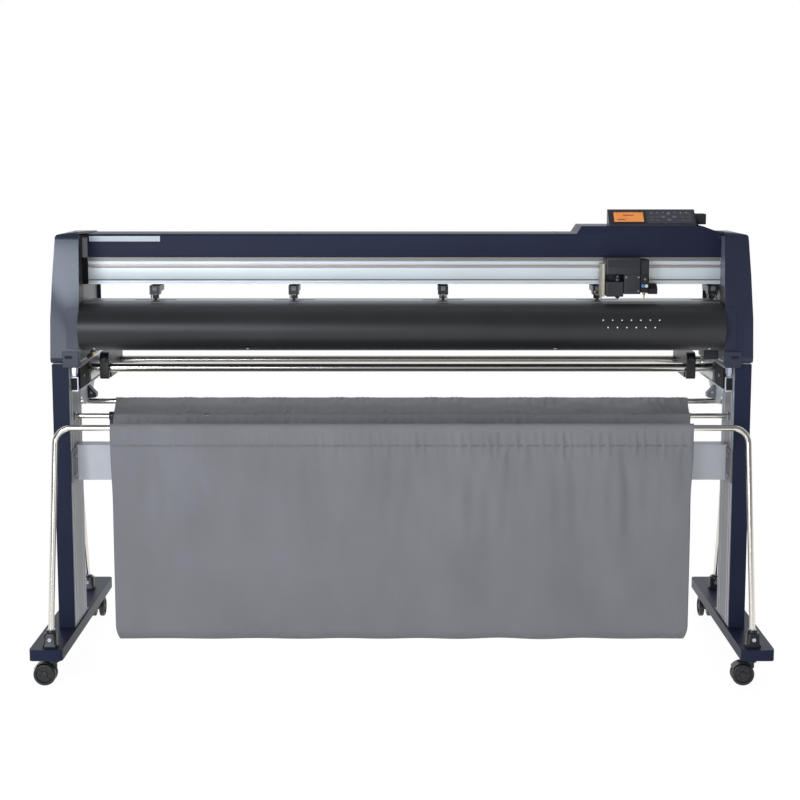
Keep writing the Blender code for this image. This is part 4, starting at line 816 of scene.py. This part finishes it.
def side_covers():
    for name, side in SIDES.items():
        skin(f"{name}_side_cover", 0.0020, 3, angle=40)
        trim = []
        for step in range(13):
            y = -0.150 + 0.300 * step / 12
            trim.append((y, 1.1935 - 0.010 * (y + 0.156) / 0.326))
        outline = trim + [(y, z - 0.0040) for y, z in reversed(trim)]
        lip = prism(outline, "X", *span(side, BAY - 0.0018, BAY + 0.0030))
        piece(f"{name}_cover_lip", lip, "navy_plastic", edge=0.0006)
        # Thin sheets on the inner faces carry painted light and shade: the low sheet is painted dark as
        # shade; the upper sheet is painted near-black navy as shade on the left, and lighter blue as lit by
        # the key lamp on the right.
        face = span(side, CLEAR - 0.0008, CLEAR - 0.0001)
        upper_light_and_shade = "liner_navy" if side < 0 else "inner_face_lit_blue"
        for level, low, high, inset, surface in (
            ("low", 0.9900, 1.0470, 0.012, "inner_face_shade_grey"),
            ("high", 1.0475, 1.1800, 0.014, upper_light_and_shade),
        ):
            outline = [(side_front(low) + 0.012, low), (LINER_BACK, low)]
            outline += [(LINER_BACK, high), (side_front(high) + inset, high)]
            piece(f"{name}_liner_{level}", prism(outline, "X", *face), surface, edge=0.0003)
        low_z, high_z = PAD_SPAN
        lines = []
        for x in PAD_SIDES:
            strip = [(side_front(low_z) - 0.0002, low_z), (side_front(low_z) + 0.0010, low_z)]
            strip += [(side_front(high_z) + 0.0010, high_z), (side_front(high_z) - 0.0002, high_z)]
            lines.append(prism(strip, "X", *span(side, x - 0.0005, x + 0.0005)))
        for z in (low_z - 0.0006, high_z + 0.0006):
            depth = (side_front(z) - 0.0002, side_front(z) + 0.001)
            lines.append(block(sorted(side * x for x in PAD_SIDES), depth, (z - 0.0006, z + 0.0006)))
        piece(f"{name}_pad_seam", lines, "dark_slot")
        face_y = side_front(0.9690) - 0.0022
        inset = [
            (face_y, 0.9600), (face_y + 0.0015, 0.9600), (face_y + 0.0047, 0.9855),
            (face_y + 0.0030, 0.9855)
        ]
        piece(
            f"{name}_pad_button", prism(inset, "X", *span(side, 0.8700, 0.8950)), "navy_paint", edge=0.0008
        )
        for count, place in enumerate(
            ((0.9405, -0.150, 0.880), (0.9405, 0.120, 0.880), (0.9372, 0.120, 1.060))
        ):
            place = (side * place[0], *place[1:])
            screw("X", place, side, 0.0042, "liner_navy", f"{name}_side_screw_{count}")
        vents = []
        for count in range(9):
            z = 0.985 + 0.011 * count
            x = 0.9424 - 0.0007 * max(0, count - 2)
            slot = fillet(rect((0.0300, 0.0950), (z, z + 0.0042)), 0.0020, 3)
            vents.append(prism(slot, "X", *span(side, x - 0.0030, x - 0.0006)))
        piece(f"{name}_vents", vents, "dark_slot")


def rail():
    front = RAIL_FRONT
    bottom, top = RAIL_SPAN
    # The front face's steps, from the top: height and how far back.
    steps = (
        (top, 0.0), (1.1112, 0.0), (1.1112, 0.0040), (1.1093, 0.0040), (1.1093, 0.0012),
        (1.1046, 0.0012), (1.1046, 0.0050), (1.1014, 0.0050), (1.1014, 0.0030), (1.0940, 0.0030),
        (1.0940, 0.0022), (1.0928, 0.0008), (1.0628, 0.0008), (1.0612, 0.0016), (1.0580, 0.0030),
        (1.0574, 0.0045), (1.0536, 0.0045), (1.0530, 0.0), (bottom, 0.0),
    )
    outline = [(front + depth, z) for z, depth in steps]
    outline += [(0.0298, bottom), (0.0298, top)]
    left, right = BOX["carriage_rail"][0][0], BOX["carriage_rail"][1][0]
    inside = (left + 0.0010, right - 0.0010)
    made = piece("rail_profile", prism(outline, "X", left, right), "aluminium", angle=30, edge=0.0003)
    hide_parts("carriage_rail")
    guide = fillet(rect((front + 0.0006, front + 0.0040), (1.0946, 1.1010)), 0.0006, 2)
    piece("rail_guide", prism(guide, "X", *inside), "guide_steel")
    flange = block(inside, (front - 0.0004, front + 0.0010), (1.1118, 1.1212))
    piece("rail_flange_face", flange, "rail_shade", edge=0.0003)
    # A dark strip in the lower groove paints the shadow line under the rail's lip.
    groove = block(inside, (front - 0.0002, front + 0.0040), (1.0588, 1.0612))
    piece("rail_groove_shadow_line", groove, "rail_groove_shadow")
    end = block((-CLEAR + 0.0003, left), (front - 0.0010, front + 0.0040), RAIL_SPAN)
    piece("left_rail_end", end, "dark_slot", edge=0.0006)
    filler = block((BAY - 0.0008, CLEAR - 0.0006), (front, 0.1500), (1.1720, 1.1890))
    piece("right_cover_filler", filler, "navy_plastic", edge=0.0008)


def top_cover():
    skin("top_cover", 0.0022, 3)
    strip = fillet(rect((-0.8575, -0.6630), (1.1652, 1.1800)), 0.0010, 2)
    piece("name_strip", prism(strip, "Y", -0.0505, -0.0490), "label_silver", edge=0.0003)
    seams = [block((0.4300, 0.4306), (-0.0503, 0.1180), (1.1235, 1.1862))]
    piece("cover_seam", seams, "dark_slot")
    back = BOX["top_cover"][1][1]
    for count, x in enumerate((-0.700, -0.250, 0.250, 0.700)):
        screw("Y", (x, back, 1.1450), 1, 0.0036, "liner_navy", f"cover_back_screw_{count}")


def front_cover():
    """The curved front: one smooth sheet with closed ends, a row of pale dots and small screws."""
    turns = [90 + 180 * step / 96 for step in range(97)]
    sheets = []
    for inset in (0.0, COVER_WALL):
        edge = COVER_REACH[1] - inset
        sheet = [(-0.1211, COVER_CENTRE[1] + edge)] + [cover_point(turn, inset) for turn in turns]
        sheets.append(sheet + [(-0.1020, COVER_CENTRE[1] - edge)])
    outer, inner = sheets
    reach = BAY - GAP
    made = piece(
        "front_cover_shell", prism(outer + inner[::-1], "X", -reach, reach), "black_cover", angle=30
    )
    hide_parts("front_cover")
    for name, side in SIDES.items():
        web = [cover_point(turn, 0.0030) for turn in turns] + [(-0.1215, 0.8780), (-0.1215, 0.9985)]
        face = span(side, reach - 0.0030, reach - 0.0008)
        piece(f"{name}_cover_end", prism(web, "X", *face), "black_cover", edge=0.0004)
    dot = [(-0.0006, 0.0013), (-0.0002, 0.0019), (0.0012, 0.0020)]
    dots = []
    for start, count, z in ((0.5376, 7, 0.9632), (0.5501, 6, 0.9445)):
        y = COVER_CENTRE[0] - COVER_REACH[0] * (1 - ((z - COVER_CENTRE[1]) / COVER_REACH[1]) ** 2) ** 0.5
        for step in range(count):
            dots.append(turned(dot, "Y", (start + 0.0251 * step, y, z), 16))
    piece("cover_dots", dots, "white_mark", angle=50)
    dome = [(-0.0018, 0.0012), (-0.0014, 0.0030), (-0.0004, 0.0042), (0.0010, 0.0042)]
    for count, x in enumerate((-0.8290, -0.4148, 0.4135, 0.8290)):
        place = (x, -0.1745, 0.8830)
        head = tilted(turned(dome, "Y", place, 20), 62, "X", place)
        piece(f"front_screw_{count}", head, "bolt_steel", angle=50)


def platen():
    skin("platen", 0.0006, surface="platen_metal")
    knife = block((-0.8600, 0.8600), (-0.0960, -0.0925), (1.0034, 1.0039))
    piece("cutting_strip", knife, "pinch_rubber", "frame")
    skin("chassis", 0.0005)
    skin("grit_shaft")
    skin("pinch_lift_shaft", 0.0006)
    skin("drive_belt")
    skin("carriage_motor", 0.0008)
    motor = BOX["carriage_motor"]
    plugs = block(
        (motor[0][0] + 0.008, motor[1][0] - 0.008), (motor[1][1] - 0.004, motor[1][1] + 0.006),
        (1.022, 1.034)
    )
    piece("motor_plug", plugs, "cream_plate", edge=0.001)


side_covers()
rail()
top_cover()
front_cover()
platen()

# ---------------------------------------------------------------- pinch rollers, carriage, panel and lever


def pinch_units():
    """Each holder: a black body with a grey middle, two seams and two legs, and its wheel on a pin."""
    for number in range(1, 6):
        holder, wheel, body = f"pinch_holder_{number}", f"pinch_wheel_{number}", f"holder_{number}"
        skin(holder, 0.0011, surface="black_plastic")
        skin(wheel, 0.0007)
        low, high = BOX[holder]
        middle = (low[0] + high[0]) / 2
        crown = fillet(rect((low[1] - 0.0006, low[1] + 0.0018), (1.0300, 1.0425)), 0.0005, 2)
        piece(
            f"{holder}_face", prism(crown, "X", middle - 0.0062, middle + 0.0062), "grey_shell", body,
            edge=0.0005
        )
        lines = [
            block(
                (middle + shift - 0.0004, middle + shift + 0.0004), (low[1] - 0.0003, low[1] + 0.001),
                (1.0205, 1.0425)
            )
            for shift in (-0.0082, 0.0082)
        ]
        piece(f"{holder}_seams", lines, "dark_slot", body)
        arms = [
            block(
                (middle + shift - 0.0012, middle + shift + 0.0012), (low[1] + 0.002, low[1] + 0.010),
                (low[2] + 0.0010, 1.0200)
            )
            for shift in (-0.0100, 0.0100)
        ]
        piece(f"{holder}_legs", arms, "black_plastic", body, edge=0.0005)
        axle = BOX[wheel]
        hub = ((axle[0][1] + axle[1][1]) / 2, (axle[0][2] + axle[1][2]) / 2)
        pin = rod("X", (0.0, *hub), axle[0][0] - 0.0006, axle[1][0] + 0.0006, 0.0020)
        piece(f"{wheel}_pin", pin, "bolt_steel", BODY_OF[wheel])
        if number == 4:
            for name, start, end, surface in (
                ("cam", 0.0012, 0.0082, "brass"), ("clip", -0.0100, -0.0066, "cream_plate")
            ):
                tab = block(
                    (middle + start, middle + end), (low[1] - 0.0007, low[1] + 0.001), (1.0225, 1.0292)
                )
                piece(f"{holder}_{name}", tab, surface, body, edge=0.0004)


def carriage():
    """The moving head: a dark housing, a pale side plate, the tool slide and the blade holder."""
    low, high = BOX["carriage"]
    front, back, top = low[1], -0.0525, high[2]
    width = (0.5534, 0.6478)
    split = 0.6021  # the seam between the lower housing and the tool
    shell = fillet(rect(width, (front, back)), [0.0045, 0.0045, 0.0, 0.0], 5)
    shoulder = prism(shell, "Z", 1.0800, top)
    lower = fillet(rect((split, 0.6478), (front, back)), [0.0010, 0.0045, 0.0, 0.0], 5)
    body = prism(lower, "Z", low[2] + 0.0092, 1.0802)
    plate = block(width, (-0.0660, back), (1.0265, 1.0802))
    made = piece(
        "carriage_shell", [shoulder, body, plate], "charcoal_plastic", "carriage", edge=0.0012
    )
    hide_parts("carriage")
    left = fillet(rect((0.5412, 0.5536), (-0.0958, -0.0518)), [0.0015, 0.0, 0.0, 0.0015], 3)
    piece("carriage_side_plate", prism(left, "Z", 1.0172, 1.1073), "cream_plate", "carriage", edge=0.0009)
    seams = [
        block((0.5545, 0.6470), (front - 0.0002, front + 0.001), (1.0796, 1.0804)),
        block((split, split + 0.0007), (front - 0.0002, front + 0.001), (1.0300, 1.0798)),
    ]
    piece("carriage_seams", seams, "dark_slot", "carriage")
    band = fillet(rect((0.5575, 0.6435), (1.0990, 1.1180)), 0.0030, 4)
    piece(
        "carriage_front_panel", prism(band, "Y", front - 0.0006, front + 0.0006), "black_plastic",
        "carriage", edge=0.0004
    )
    for count, (x, z) in enumerate(((0.6080, 1.0720), (0.6420, 1.0720), (0.6420, 1.0345))):
        screw("Y", (x, front, z), -1, 0.0024, "bolt_steel", f"carriage_screw_{count}", "carriage")
    skin("tool_slide", 0.0012, surface="charcoal_plastic")
    slide = BOX["tool_slide"]
    ribs = []
    for step in range(3):
        z = 1.0300 + 0.0085 * step
        ribs.append(
            block(
                (slide[0][0] + 0.004, slide[0][0] + 0.016), (slide[0][1] - 0.0006, slide[0][1] + 0.001),
                (z, z + 0.0035)
            )
        )
    piece("tool_slide_ribs", ribs, "black_plastic", BODY_OF["tool_slide"], edge=0.0004)
    skin("blade_holder", 0.0005)
    centre = (0.5893, -0.088, 0.0)
    rings = []
    for count in range(5):
        z = 1.0625 + 0.0018 * count
        rings.append(
            turned(
                [(z, 0.0070), (z + 0.0003, 0.0074), (z + 0.0008, 0.0074), (z + 0.0011, 0.0070)], "Z",
                centre, 40
            )
        )
    piece("blade_holder_grip", rings, "holder_metal", BODY_OF["blade_holder"])


def cross_cutter():
    """The media cutter on the carriage's right: a housing, its coloured adjusters and its low blade guard."""
    near = -0.1160
    housing = fillet(rect((0.6480, 0.6712), (near, -0.0560)), [0.0, 0.0045, 0.0010, 0.0], 4)
    piece("cutter_housing", prism(housing, "Z", 1.0300, 1.1180), "lever_black", "carriage", edge=0.0012)
    face = fillet(rect((0.6505, 0.6690), (1.0820, 1.1130)), 0.0025, 3)
    piece(
        "cutter_face", prism(face, "Y", near - 0.0008, near + 0.0006), "black_plastic", "carriage",
        edge=0.0004
    )
    guard = [(-0.1080, 1.0250), (-0.0600, 1.0250), (-0.0600, 1.0520), (-0.0900, 1.0520), (-0.1080, 1.0400)]
    piece(
        "cutter_guard", prism(fillet(guard, 0.0025, 3), "X", 0.6712, 0.6955), "lever_black", "carriage",
        edge=0.0010
    )
    for count, (x, z, radius, surface) in enumerate(
        (
            (0.6545, 1.0480, 0.0046, "blue_plastic"), (0.6640, 1.0480, 0.0044, "white_mark"),
            (0.6600, 1.0660, 0.0030, "bolt_steel")
        )
    ):
        knob = [
            (0.0006, radius), (-0.0030, radius), (-0.0042, radius * 0.86), (-0.0042, radius * 0.5),
            (-0.0030, radius * 0.42)
        ]
        piece(
            f"cutter_adjuster_{count}", turned(knob, "Y", (x, near, z), 28), surface, "carriage", angle=40
        )
        piece(
            f"cutter_adjuster_{count}_slot",
            block(
                (x - 0.0004, x + 0.0004), (near - 0.0046, near - 0.0028),
                (z - radius * 0.5, z + radius * 0.5)
            ),
            "dark_slot", "carriage"
        )
    brass = turned(
        [(1.0215, 0.0030), (1.0250, 0.0030), (1.0262, 0.0048), (1.0300, 0.0048)], "Z",
        (0.6600, -0.100, 0.0), 20
    )
    piece("cutter_blade_collar", brass, "brass", "carriage")
    pin = turned([(1.0130, 0.0006), (1.0160, 0.0018), (1.0218, 0.0018)], "Z", (0.6600, -0.100, 0.0), 16)
    piece("cutter_blade", pin, "bolt_steel", "carriage")


PANEL_LEFT, PANEL_FRONT, PANEL_Z = 0.568, -0.052, 1.2124
PANEL_TILT = 40
LCD = ((0.014, 0.097), (0.008, 0.050))


def on_panel(shape):
    """Lays a flat shape on the leaning panel. Its X goes across, its Y up the slope and its Z outwards."""
    tilted(shape, PANEL_TILT, "X", (0, 0, 0))
    return moved(shape, PANEL_LEFT, PANEL_FRONT, PANEL_Z)


def flat_plate(across, up, out, corner=0.002):
    """A rounded plate on the panel's own face."""
    outline = fillet(rect(across, up), corner, 4)
    return on_panel(prism(outline, "Z", *out))


def frame_shape(outer, inner, out, corner, hole_corner):
    """A flat frame: an outline with an opening, both rounded."""
    shape = bmesh.new()
    edges = []
    for (across, up), radius in ((outer, corner), (inner, hole_corner)):
        edges.append(fillet(rect(across, up), radius, 5))
    rings = [[[shape.verts.new((x, y, z)) for x, y in edge] for z in out] for edge in edges]
    count = len(edges[0])
    for index in range(count):
        after = (index + 1) % count
        (outer_low, outer_high), (inner_low, inner_high) = rings
        shape.faces.new([outer_low[index], outer_low[after], outer_high[after], outer_high[index]])
        shape.faces.new([inner_low[index], inner_high[index], inner_high[after], inner_low[after]])
        shape.faces.new([outer_high[index], outer_high[after], inner_high[after], inner_high[index]])
        shape.faces.new([outer_low[index], inner_low[index], inner_low[after], outer_low[after]])
    return on_panel(shape)


def panel():
    """The console: its housing, display with a bezel and blank read-out bars, membrane and keys."""
    skin("control_panel", 0.0035, 4)
    window = ((LCD[0][0] + 0.0005, LCD[0][1] - 0.0005), (LCD[1][0] + 0.0005, LCD[1][1] - 0.0005))
    glass = piece("display_window", flat_plate(*window, (-0.0012, -0.0003), 0.0012), "lcd_orange")
    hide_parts("lcd_window")
    border = ((LCD[0][0] - 0.0045, LCD[0][1] + 0.0035), (LCD[1][0] - 0.0030, LCD[1][1] + 0.0030))
    piece(
        "display_bezel", frame_shape(border, window, (-0.0002, 0.0014), 0.0035, 0.0012), "black_plastic",
        edge=0.0003
    )
    bars = []
    for start, end, up in ((0.040, 0.070, 0.0350), (0.024, 0.046, 0.0180)):
        bars.append(flat_plate((start, end), (up, up + 0.0035), (-0.0005, -0.0001), 0.0004))
    piece("display_bars", bars, "read_out")
    piece(
        "key_membrane", flat_plate((0.1055, 0.2330), (0.0040, 0.0525), (-0.0003, 0.0005), 0.003),
        "membrane", edge=0.0002
    )
    small = []
    for across in (0.114, 0.130, 0.198, 0.214):
        for up in (0.012, 0.025, 0.038):
            small.append(flat_plate((across, across + 0.011), (up, up + 0.0065), (0.0003, 0.0011), 0.0015))
    piece("membrane_pads", small, "key_plastic", edge=0.0003)
    lamps = [
        flat_plate(
            (0.1178 + 0.016 * step, 0.1212 + 0.016 * step), (0.0465, 0.0485), (0.0003, 0.0009), 0.0008
        )
        for step in range(7)
    ]
    piece("membrane_lamps", lamps, "pad_mark", edge=0.0002)
    for name, spin in (("up", 0), ("left", 90), ("down", 180), ("right", 270)):
        node = f"key_{name}"
        skin(node, 0.0009, 3, surface="key_face")
        low, high = BOX[node]
        centre = (low + high) / 2
        turn = Matrix.Rotation(radians(spin), 3, "Z")
        arrow = ((-0.0024, -0.0014), (0.0024, -0.0014), (0.0, 0.0022))
        corners = [turn @ Vector((x, y, 0)) for x, y in arrow]
        shape = lofted([[(corner.x, corner.y, z) for corner in corners] for z in (-0.0004, 0.0004)])
        tilted(shape, PANEL_TILT, "X", (0, 0, 0))
        out = Vector((0.0, -sin(radians(PANEL_TILT)), cos(radians(PANEL_TILT))))
        face = centre + out * 0.0010
        piece(f"{node}_arrow", moved(shape, *face), "white_mark", BODY_OF[node])


def lever():
    skin("set_lever", 0.0040, 4, surface="lever_black")
    high = BOX["set_lever"][1]
    screw("X", (high[0], 0.052, 1.2171), 1, 0.0036, "liner_navy", "lever_pivot_screw", BODY_OF["set_lever"])


pinch_units()
carriage()
cross_cutter()
panel()
lever()

# ---------------------------------------------------------------- the gathered cloth

FRONT_BAR = (-0.300, 0.687)
MID_BAR = (-0.106, 0.690)
REAR_BAR = (0.090, 0.703)
CLOTH_THICK = 0.0012
SLEEVE = 0.0110  # from a bar's axis to the cloth
HALF_FRONT = 0.7705  # half the cloth's width at the front bar
FLARE = 0.118  # how much the half width grows per metre towards the back
STITCH_Z = 0.6410  # the front sleeve's stitch line
BAG_FOLD = (-0.2745, 0.1455)  # the centre that the bag's bottom turns round
FOLD_RADIUS = 0.0360
COLUMNS = 420  # steps across the cloth
BAG_ROUNDS_AT = 0.155  # the height below which the bag's corners draw in
BAG_TOP = 0.150  # above it the two panels hang, and below it the bag turns
PLEATS = random.Random(11)
# Deeper creases that fall from the stitching: place, width, depth and how far down they reach.
CREASES = (
    (0.283, 0.010, 0.0070, 0.36),
    (0.452, 0.016, 0.0060, 0.34),
    (0.590, 0.012, 0.0090, 0.42),
    (0.745, 0.010, 0.0080, 0.24),
    (-0.640, 0.011, 0.0028, 0.12),
)


def walk(points, step):
    """The same path as points an even step apart, and how far along each one lies."""
    lengths = [0.0]
    for here, after in zip(points, points[1:]):
        lengths.append(lengths[-1] + hypot(after[0] - here[0], after[1] - here[1]))
    count = round(lengths[-1] / step)
    made = []
    index = 0
    for number in range(count + 1):
        reach = lengths[-1] * number / count
        while index < len(lengths) - 2 and lengths[index + 1] < reach:
            index += 1
        share = (reach - lengths[index]) / (lengths[index + 1] - lengths[index])
        made.append(tuple(a + (b - a) * share for a, b in zip(points[index], points[index + 1])))
    return made, lengths[-1]


def waves(count, shortest, longest):
    """Sines of random lengths and phases that add up to about 1."""
    made = []
    for _ in range(count):
        made.append(
            (
                2 * pi / PLEATS.uniform(shortest, longest), PLEATS.uniform(0, 2 * pi),
                PLEATS.uniform(-0.10, 0.10)
            )
        )
    return made


def height_of(waving, x, drift):
    """The waves' height at x. The drift slants each fold a little."""
    return sum(
        sin(rate * (x + slant * drift) + phase) for rate, phase, slant in waving
    ) / len(waving) ** 0.5


def fade(value, start, end):
    """Eases from 0 at start to 1 at end."""
    share = min(max((value - start) / (end - start), 0.0), 1.0)
    return share * share * (3 - 2 * share)


def cloth_path():
    """The cloth's section: its front hem and bar, the bag's bottom, and the mid and rear bars."""
    hem = (FRONT_BAR[0] - SLEEVE + 0.0022, STITCH_Z)
    path = [hem] + arc(FRONT_BAR, SLEEVE, -8, 180, 14)
    path += arc(BAG_FOLD, FOLD_RADIUS, 180, 345, 24)
    path += arc(MID_BAR, 0.0066, 165, 88, 6)
    path += arc(REAR_BAR, SLEEVE - 0.0012, 94, -70, 12)
    return path + [(REAR_BAR[0] - 0.0010, REAR_BAR[1] - 0.0560)]


FINE, MIDDLE, BROAD = waves(5, 0.016, 0.034), waves(4, 0.045, 0.090), waves(4, 0.130, 0.300)
BACK_FINE, BACK_BROAD = waves(5, 0.018, 0.040), waves(4, 0.10, 0.22)


def away_from(bar, y, z):
    return hypot(y - bar[0], z - bar[1])


def front_rise(x, z, near_front, calm):
    """How far the front panel's gathers, folds and creases stand out."""
    below = STITCH_Z - z
    ruffle = height_of(FINE, x, z) * (0.0005 + 0.0013 * fade(near_front, 0.012, 0.030))
    ruffle *= 1 - fade(below, 0.0, 0.050)
    soft = height_of(MIDDLE, x, z) * 0.0019 * fade(near_front, 0.030, 0.075)
    soft *= 1 - fade(below, 0.07, 0.34)
    large = height_of(BROAD, x, z) * 0.0082 * fade(below, -0.010, 0.16)
    large *= 1 - 0.75 * fade(below, 0.36, 0.50)
    large *= calm
    pinch = -0.0011 * exp(-((below / 0.0030) ** 2)) * fade(near_front, 0.02, 0.04)
    for place, width, depth, reach in CREASES:
        spot = place + 0.020 * fade(below, 0.0, 0.25)
        spread = width * (1 + 2.2 * fade(below, 0.0, 0.30))
        crease = depth * exp(-(((x - spot) / spread) ** 2)) * fade(below, -0.006, 0.03)
        large -= crease * (1 - fade(below, reach * 0.45, reach))
    return ruffle * calm + soft * calm + large + pinch


def back_rise(x, y, near_mid, near_rear):
    """How far the back panel's folds stand out. Over a bar they only ever stand away from it."""
    if near_rear < 0.013 or near_mid < 0.009:
        return -abs(height_of(BACK_FINE, x, y)) * 0.0012
    nearest = min(near_mid, near_rear)
    rise = height_of(BACK_FINE, x, y) * (0.0004 + 0.0011 * (1 - fade(nearest, 0.03, 0.09)))
    rise *= fade(nearest, 0.006, 0.014)
    return rise + height_of(BACK_BROAD, x, y) * 0.0045 * fade(nearest, 0.007, 0.050)


def basket():
    rows, length = walk(cloth_path(), 0.0042)
    shape = bmesh.new()
    grid = []
    turn_at = next(index for index, point in enumerate(rows) if point[1] < BAG_FOLD[1])
    for index, (y, z) in enumerate(rows):
        before, after = rows[max(index - 1, 0)], rows[min(index + 1, len(rows) - 1)]
        way = Vector((after[0] - before[0], after[1] - before[1])).normalized()
        out = Vector((way.y, -way.x))
        front = index < turn_at
        near_front, near_mid, near_rear = (away_from(bar, y, z) for bar in (FRONT_BAR, MID_BAR, REAR_BAR))
        half = HALF_FRONT + (y - FRONT_BAR[0]) * FLARE
        # The cloth draws in a little below its bars, and its corners round off at the bottom.
        if front:
            tuck = 0.0045 * fade(STITCH_Z - z, 0.0, 0.16)
        else:
            tuck = 0.0045 * (1 - fade(z, 0.2, 0.6))
        if z < BAG_ROUNDS_AT:
            tuck += 0.012 * (1 - cos(pi / 2 * min((BAG_ROUNDS_AT - z) / 0.046, 1.0)))
        # Between the mid and the rear bar the cloth sags.
        sag = 0.0
        if not front and z > 0.6 and MID_BAR[0] < y < REAR_BAR[0] and near_mid > 0.008 and near_rear > 0.012:
            sag = 0.0080 * sin(pi * (y - MID_BAR[0]) / (REAR_BAR[0] - MID_BAR[0]))
        line = []
        for column in range(COLUMNS + 1):
            share = 2 * column / COLUMNS - 1
            x = share * (half - tuck * fade(abs(share), 0.55, 1.0))
            calm = 0.35 + 0.65 * fade(x, -0.45, 0.35)
            if z <= BAG_TOP:
                rise = height_of(BROAD, x, z) * 0.0015 * calm
            elif front:
                rise = front_rise(x, z, near_front, calm)
            else:
                rise = back_rise(x, y, near_mid, near_rear)
            if z > BAG_TOP and near_front < 0.0125:
                rise = abs(rise)
            line.append(shape.verts.new((x, y + out.x * rise, z + out.y * rise - sag)))
        grid.append(line)
    for low, high in zip(grid, grid[1:]):
        for column in range(COLUMNS):
            shape.faces.new([low[column], low[column + 1], high[column + 1], high[column]])
    whole = sum(face.calc_area() for face in shape.faces)
    mesh = bpy.data.meshes.new("basket_cloth_sheet")
    shape.to_mesh(mesh)
    shape.free()
    cloth = put("basket_cloth_sheet", mesh, "basket_fabric", angle=80)
    wall = cloth.modifiers.new("cloth_thickness", "SOLIDIFY")
    wall.thickness = CLOTH_THICK
    wall.offset = 0.0
    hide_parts("basket_cloth")
    return cloth, whole / length, length


def stitching():
    """The stitch line of the front sleeve: short threads just proud of the cloth."""
    made = []
    count = 220
    for step in range(count):
        x = (2 * (step + 0.5) / count - 1) * (HALF_FRONT - 0.006)
        made.append(
            block(
                (x - 0.0024, x + 0.0024),
                (FRONT_BAR[0] - SLEEVE - 0.0016, FRONT_BAR[0] - SLEEVE - 0.0004),
                (STITCH_Z - 0.0006, STITCH_Z + 0.0006)
            )
        )
    return piece("sleeve_stitches", made, "stitch_thread")


cloth_piece, flat_width, flat_length = basket()
stitches = stitching()
